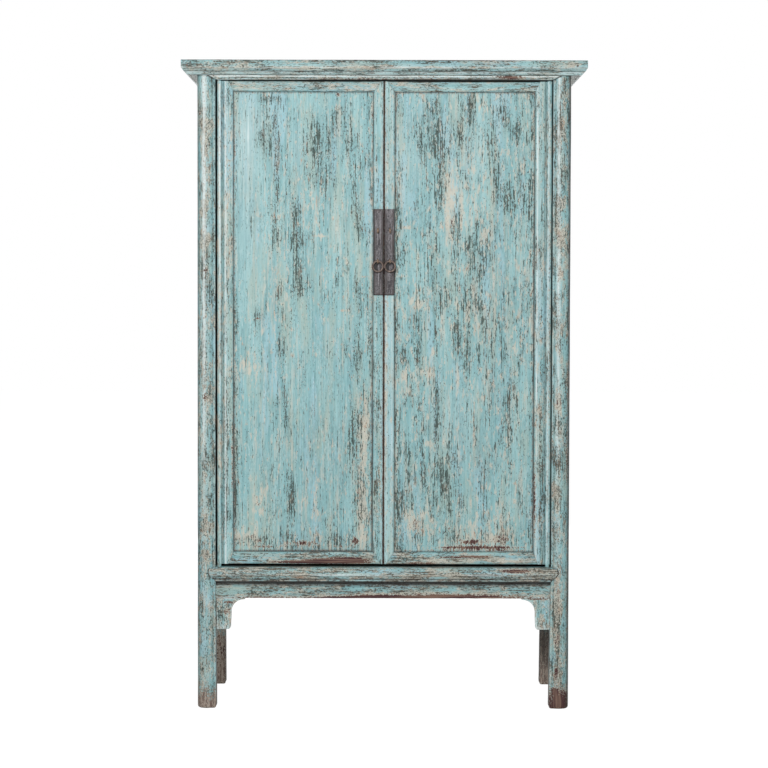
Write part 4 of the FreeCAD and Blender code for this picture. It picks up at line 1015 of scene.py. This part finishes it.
def build_walls():
    """Side boards and rails in paint with bare inner faces, back boards, rails and muntin in bare wood."""
    seed = 60
    for side, sign in SIDES:
        node = f"{side}_side_panel"
        low, high = span(node)
        inner = (high if sign < 0.0 else low)[0] + LINING_DEPTH * sign
        grid = board(low, high, "z", seed, step=6.0)
        make(f"{side}_wall_board", "case", [node], PANEL_PAINT, [grid], seed, (ELM["z"], 0, -sign, inner))
        for level in ("top", "bottom"):
            node = f"{side}_{level}_rail"
            low, high = span(node)
            inner = (high if sign < 0.0 else low)[0] + LINING_DEPTH * sign
            grid = board(low, high, "y", seed + 4)
            make(f"{side}_wall_{level}_rail", "case", [node], SIDE_PAINT, [grid], seed + 4,
                 (ELM["y"], 0, -sign, inner))
            seed += 1
        node = f"back_{side}_panel"
        make(f"back_{side}_board", "case", [node], ELM["z"], [board(*span(node), "z", seed + 8)], seed + 8)
    make("back_middle_muntin", "case", ["back_muntin"], ELM["z"], [board(*span("back_muntin"), "z", 71)], 71)
    for level in ("top", "bottom"):
        node = f"back_{level}_rail"
        make(f"back_wall_{level}_rail", "case", [node], ELM["x"], [board(*span(node), "x", 72)], 72)


def build_inside():
    """Floor, shelves and what carries them, in bare wood."""
    for seed, node in enumerate(("floor_panel", "lower_shelf", "upper_shelf"), start=80):
        make(f"{node}_board", "case", [node], ELM["x"], [board(*span(node), "x", seed, 1.2)], seed)
    battens = node_boards("floor_battens", "x", "y")
    make("floor_cross_battens", "case", ["floor_battens"], ELM["y"], battens, 84)
    for seed, (side, _) in enumerate(SIDES, start=85):
        node = f"{side}_shelf_bearers"
        make(f"{side}_bearer_bars", "case", [node], ELM["y"], node_boards(node, "z", "y"), seed)


# Doors

BEAD, BEAD_GROOVE, FACE = 6.0, 5.0, 28.0
STILE = 2.0 * BEAD + BEAD_GROOVE + FACE
DOOR_OUTER, DOOR_BACK = span("right_door_pivot_stile")[1][:2]
DOOR_FRONT = span("right_door_pivot_stile")[0][1]
DOOR_INNER = span("right_door_meeting_stile")[0][0]
DOOR_TOP = span("right_door_top_rail")[1][2]
DOOR_BASE = span("right_door_bottom_rail")[0][2]
TOP_RAIL = DOOR_TOP - span("right_door_top_rail")[0][2]
LOW_RAIL = span("right_door_bottom_rail")[1][2] - DOOR_BASE
THICK = DOOR_BACK - DOOR_FRONT
PIVOT_MITRE, MEETING_MITRE = FACE / 2.0, 22.0
DOOR_LINING = 2.0

# Face corners of a door member: place as a share of half its width, depth, radius, mark; a mark above 0 gives
# rubbing with a painted highlight on a ridge, one below 0 dirt with painted shade in a valley
RIDGES = [
    (0.0, 2.6, 0.5, -0.4),
    (0.16, 0.8, 3.0),
    (0.45, 0.0, 6.0, 0.4),
    (0.74, 0.35, 3.0),
    (1.0, 0.9, 2.5, -0.15),
    (1.26, 0.35, 3.0),
    (1.55, 0.0, 6.0, 0.35),
    (1.84, 0.8, 3.0),
    (2.0, 3.0, 0.5, -0.45),
]
ARCH = [
    (0.0, 3.0, 0.5, -0.6),
    (0.2, 0.8, 4.0),
    (0.5, 0.0, 8.0, 0.9),
    (1.0, 0.35, 12.0, 0.3),
    (1.5, 1.0, 10.0),
    (1.85, 1.7, 4.0),
    (2.0, 3.2, 0.5, -0.5),
]
ARCH_TURNED = [(2.0 - share, *rest) for share, *rest in reversed(ARCH)]

# Each side's pivot stile: how far its outer bead stands out, and its face, turned on the right door so that
# the painted highlight on the ridge lies on the left, towards the light
PIVOT_LOOKS = {"left": (0.0, ARCH), "right": (2.0, ARCH_TURNED)}

# Dirt and chalk all over each panel
PANEL_SOIL = {"left": 0.1, "right": 0.35}
PANEL_GESSO = {"left": 0.2, "right": 0.35}


def moulded(start, end, lift):
    """Face corners between two places: start + share * half the width, with lift's depth, radius and mark."""
    wide = (end - start) / 2.0
    return [(start + share * wide, *rest) for share, *rest in lift]


def build_door(side, sign, seed):
    """Two stiles and two rails mitred round a panel; the outer bead ends in the turning pins."""
    body = f"{side}_door"
    upright_lining, level_lining = ((ELM[axis], 1, 1.0, DOOR_BACK - DOOR_LINING) for axis in "zx")
    slack, lift = PIVOT_LOOKS[side]
    bead = [
        (-slack, THICK, 0.8),
        (-slack, 0.0, BEAD),
        (BEAD + 1.5, 0.0, 0.0, 0.8),
        (2.0 * BEAD, 0.0, BEAD),
        (2.0 * BEAD + 1.5, 3.4, 0.4, -0.6),
    ]
    face = moulded(2.0 * BEAD + BEAD_GROOVE, STILE, lift)
    shape = Outline(bead + face + [(STILE, THICK, 0.8)], 2.0, 3.6)
    cut = np.clip((shape.points[:, 0] - STILE + PIVOT_MITRE) / PIVOT_MITRE, 0.0, 1.0)
    grid = carry(shape, lambda a, b, along: (sign * (DOOR_OUTER - a), DOOR_FRONT + b, along),
                 DOOR_BASE + LOW_RAIL * cut, DOOR_TOP - TOP_RAIL * cut, seed, spacing=9.0)
    grids = [grid]
    pivot_x, pivot_y = DOOR_OUTER - BEAD, DOOR_FRONT + BEAD
    low, high = span(f"{side}_door_pivot_stile")
    pins = (
        (5.8, SILL_TOP + 0.3, DOOR_BASE + 8.0),
        (5.8, DOOR_TOP - 8.0, LINTEL_UNDER - 0.3),
        (5.0, low[2], DOOR_BASE),
        (5.0, DOOR_TOP, high[2]),
    )
    for radius, bottom, top in pins:
        pin = carry(round_outline(radius), lambda a, b, along: (sign * pivot_x + a, pivot_y + b, along),
                    bottom, top, seed, uneven=0.05)
        grids.append(pin)
    node = f"{side}_door_pivot_stile"
    make(f"{side}_pivot_stile", body, [node], STILE_PAINT, grids, seed, upright_lining)

    face = moulded(0.0, FACE, RIDGES)[:-1]
    rebate = [(FACE - 0.6, 2.0, 0.8, 0.6), (FACE + 0.9, 4.2), (FACE + 0.9, THICK, 0.8), (0.0, THICK, 0.8)]
    shape = Outline(face + rebate, 2.0, 2.4)
    cut = np.clip(1.0 - shape.points[:, 0] / MEETING_MITRE, 0.0, 1.0)
    grid = carry(shape, lambda a, b, along: (sign * (DOOR_INNER + FACE - a), DOOR_FRONT + b, along),
                 DOOR_BASE + LOW_RAIL * cut, DOOR_TOP - TOP_RAIL * cut, seed + 1, spacing=9.0, seam=0.5)
    grid["bare"] = 2.2 * bell(np.maximum(shape.points[:, 0] - FACE, -2.0), 1.0)
    node = f"{side}_door_meeting_stile"
    make(f"{side}_meeting_stile", body, [node], STILE_PAINT, [grid], seed + 1, upright_lining)

    levels = (("top", DOOR_TOP, -1.0, TOP_RAIL), ("bottom", DOOR_BASE, 1.0, LOW_RAIL))
    for turn, (level, edge, way, tall) in enumerate(levels, start=2):
        shape = Outline(moulded(0.0, tall, RIDGES) + [(tall, THICK, 0.8), (0.0, THICK, 0.8)], 2.0, 2.4)
        inner = shape.points[:, 0] / tall
        near = DOOR_INNER + FACE - MEETING_MITRE * (1.0 - inner)
        far = DOOR_OUTER - STILE + PIVOT_MITRE * (1.0 - inner)
        grid = carry(shape, lambda a, b, along: (sign * along, DOOR_FRONT + b, edge + way * a),
                     near, far, seed + turn, spacing=8.0, seam=0.5)
        node = f"{side}_door_{level}_rail"
        make(f"{side}_{level}_rail", body, [node], RAIL_PAINT, [grid], seed + turn, level_lining)

    build_panel(side, sign, seed + 4)
    node = f"{side}_door_battens"
    make(f"{side}_door_cross_battens", body, [node], ELM["x"], node_boards(node, "z", "x"), seed + 5)


def build_panel(side, sign, seed):
    """A flat panel with a slow warp, weathered where the spots say, with dirt and painted shade along its
    border.
    """
    node = f"{side}_door_panel"
    low, high = span(node)
    low = np.array((DOOR_INNER + FACE - 0.3, low[1], DOOR_BASE + LOW_RAIL - 0.5))
    high = np.array((DOOR_OUTER - STILE + 0.3, high[1], DOOR_TOP - TOP_RAIL + 0.5))
    wide, thick = high[0] - low[0], high[1] - low[1]
    shape = Outline([(0, 0), (wide, 0), (wide, thick), (0, thick)], 4.0)
    grid = carry(shape, lambda a, b, along: (sign * (low[0] + a), low[1] + b, along), low[2], high[2], seed,
                 spacing=4.5, uneven=0.8)
    across = np.abs(grid["points"][..., 0])
    rise = grid["points"][..., 2]
    border = np.minimum.reduce([across - low[0], high[0] - across, rise - low[2], high[2] - rise])
    # Dirt and painted shade along the panel's border by the frame
    grid["hollow"] = 0.85 * bell(border, 4.8)
    beside = np.minimum(across - low[0], high[0] - across)
    grid["soil"] = PANEL_SOIL[side] + 0.5 * bell(beside - 8.0, 8.0)
    grid["gesso"] = PANEL_GESSO[side] + 0.4 * bell(beside - 6.0, 5.0)
    grid["bare"] = 1.1 * bell(border - 4.0, 3.0)
    lining = ELM["z"], 1, 1.0, high[1] - DOOR_LINING
    make(f"{side}_panel", f"{side}_door", [node], PANEL_PAINT, [grid], seed, lining)


# Iron

# Kinds of eye: outer radius, and half the wire's thickness and width
EYES = (("lock", 6.8, 1.5, 2.75), ("ring", 6.0, 1.5, 2.25))
SHANK_RADIUS = 2.2


def build_iron(side, seed):
    """Plate bent over the stile's ridges, split-pin eyes and a hanging ring."""
    body = f"{side}_door"
    low, high = span(f"{side}_face_plate")
    wide, thick = high[0] - low[0], high[1] - low[1]
    corners = [
        (0.0, thick),
        (0.0, 0.5, 0.4, 0.9),
        (wide * 0.25, 0.0, 5.0),
        (wide * 0.5, 0.45, 5.0),
        (wide * 0.75, 0.0, 5.0),
        (wide, 0.5, 0.4, 0.9),
        (wide, thick),
    ]
    grid = carry(Outline(corners, 2.0), lambda a, b, along: (low[0] + a, low[1] + b, along), low[2], high[2],
                 seed, (0.5, 0.5), 4.0, 0.25, 0.5)
    make(f"{side}_plate", body, [f"{side}_face_plate"], PLATE_IRON, [grid], seed)
    for turn, (kind, outer, wire, half) in enumerate(EYES, start=1):
        node = f"{side}_{kind}_eye"
        low, high = span(node)
        x, z = (low[0] + high[0]) / 2.0, (low[2] + high[2]) / 2.0
        y = low[1] + outer
        loop = wire_ring((x, y, z), (1.0, 0.0, 0.0), outer - wire, wire, half, seed + turn)
        shank = carry(round_outline(SHANK_RADIUS, 16), lambda a, b, along: (x + a, along, z + b),
                      y + outer - 2.0, high[1] - 0.2, seed, uneven=0.1)
        clench = board((x - 2.0, high[1] - 2.0, low[2]), (x + 2.0, high[1], high[2]), "z", seed,
                       0.6, 0.8, 4.0, 2.0, 0.2)
        make(f"{side}_{kind}_pin", body, [node], PIN_IRON, [loop, shank, clench], seed + turn)
    low, high = span(f"{side}_ring_pull")
    wire = (high[1] - low[1]) / 2.0
    radius = (high[0] - low[0]) / 2.0 - wire
    loop = wire_ring((low + high) / 2.0, (0.0, 1.0, 0.0), radius, wire + 0.75, wire + 0.1, seed + 3, 72)
    make(f"{side}_pull", f"{side}_ring", [f"{side}_ring_pull"], RING_IRON, [loop], seed + 3)


# Floor, light and camera

WHITE = (1.0, 1.0, 1.0, 1.0)
FLOOR_HALF = 20.0
FLOOR_GREY = "#f2f2f2"
FLOOR_SEEN, FLOOR_WHITE = 0.85, 1.14
SKY_LIGHT, SKY_SEEN = 0.26, 1.0
SOFTBOXES = (("softbox", 180.0, (-0.5, -5.2, 2.7)), ("back_softbox", 120.0, (0.0, 5.0, 1.1)))
SOFTBOX_SIZE = (1.3, 1.1)
SOFTBOX_AIM = (0.0, 0.0, 1.0)
CAMERA_PITCH, CAMERA_YAW, CAMERA_ROLL = 2.296, -0.010, 0.134
CAMERA_PLACE = (-0.0002, -6.978, 1.1772)
CAMERA_SENSOR, CAMERA_LENS = 36.0, 114.03


def build_stage():
    """A pale floor that keeps the shadow, a white surround for the eye and for gloss, and soft light."""
    mesh = bpy.data.meshes.new("floor")
    corners = [(FLOOR_HALF * x, FLOOR_HALF * y, 0.0) for x, y in ((-1, -1), (1, -1), (1, 1), (-1, 1))]
    mesh.from_pydata(corners, [], [(0, 1, 2, 3)])
    floor = bpy.data.objects.new("floor", mesh)
    bpy.context.scene.collection.objects.link(floor)
    material, tree = new_material("pale_floor")
    seen = add(tree, "LightPath", {})
    matt = add(tree, "BsdfDiffuse", {"Color": linear(FLOOR_GREY)})
    white = add(tree, "Emission", {"Color": WHITE, "Strength": FLOOR_WHITE})
    share = total(tree, (seen.outputs["Is Camera Ray"], FLOOR_SEEN))
    mixed = add(tree, "MixShader", {0: share, 1: matt.outputs[0], 2: white.outputs[0]})
    add(tree, "OutputMaterial", {0: mixed.outputs[0]})
    mesh.materials.append(material)

    world = bpy.data.worlds.new("studio")
    world.use_nodes = True
    tree = world.node_tree
    tree.nodes.clear()
    seen = add(tree, "LightPath", {})
    kinds = ("Is Camera Ray", "Is Glossy Ray", "Is Transmission Ray")
    rays = total(tree, *(seen.outputs[kind] for kind in kinds))
    dim = add(tree, "Background", {"Color": WHITE, "Strength": SKY_LIGHT})
    bright = add(tree, "Background", {"Color": WHITE, "Strength": SKY_SEEN})
    mixed = add(tree, "MixShader", {0: rays, 1: dim.outputs[0], 2: bright.outputs[0]})
    add(tree, "OutputWorld", {0: mixed.outputs[0]})
    bpy.context.scene.world = world

    for name, power, place in SOFTBOXES:
        lamp = bpy.data.lights.new(name, "AREA")
        lamp.shape = "RECTANGLE"
        lamp.size, lamp.size_y = SOFTBOX_SIZE
        lamp.energy = power
        softbox = bpy.data.objects.new(name, lamp)
        softbox.location = place
        softbox.rotation_euler = (Vector(SOFTBOX_AIM) - softbox.location).to_track_quat("-Z", "Y").to_euler()
        bpy.context.scene.collection.objects.link(softbox)


def build_camera():
    """The photograph's viewpoint: long lens in front of the doors, tipped down a little."""
    pitch, yaw, roll = (math.radians(angle) for angle in (CAMERA_PITCH, CAMERA_YAW, CAMERA_ROLL))
    forward = Vector((-math.sin(yaw) * math.cos(pitch), math.cos(yaw) * math.cos(pitch), -math.sin(pitch)))
    level = Vector((math.cos(yaw), math.sin(yaw), 0.0))
    upward = level.cross(forward)
    right = math.cos(roll) * level + math.sin(roll) * upward
    upward = math.cos(roll) * upward - math.sin(roll) * level
    data = bpy.data.cameras.new("camera")
    data.sensor_width = CAMERA_SENSOR
    data.lens = CAMERA_LENS
    camera = bpy.data.objects.new("camera", data)
    turned = Matrix((right, upward, -forward)).transposed().to_4x4()
    camera.matrix_world = Matrix.Translation(CAMERA_PLACE) @ turned
    bpy.context.scene.collection.objects.link(camera)
    bpy.context.scene.camera = camera


build_top()
build_posts()
build_front_rails()
build_aprons()
build_walls()
build_inside()
for first_seed, (door_side, door_sign) in zip((100, 120), SIDES):
    build_door(door_side, door_sign, first_seed)
    build_iron(door_side, first_seed + 10)
build_stage()
build_camera()
bpy.context.scene.view_settings.view_transform = "Standard"
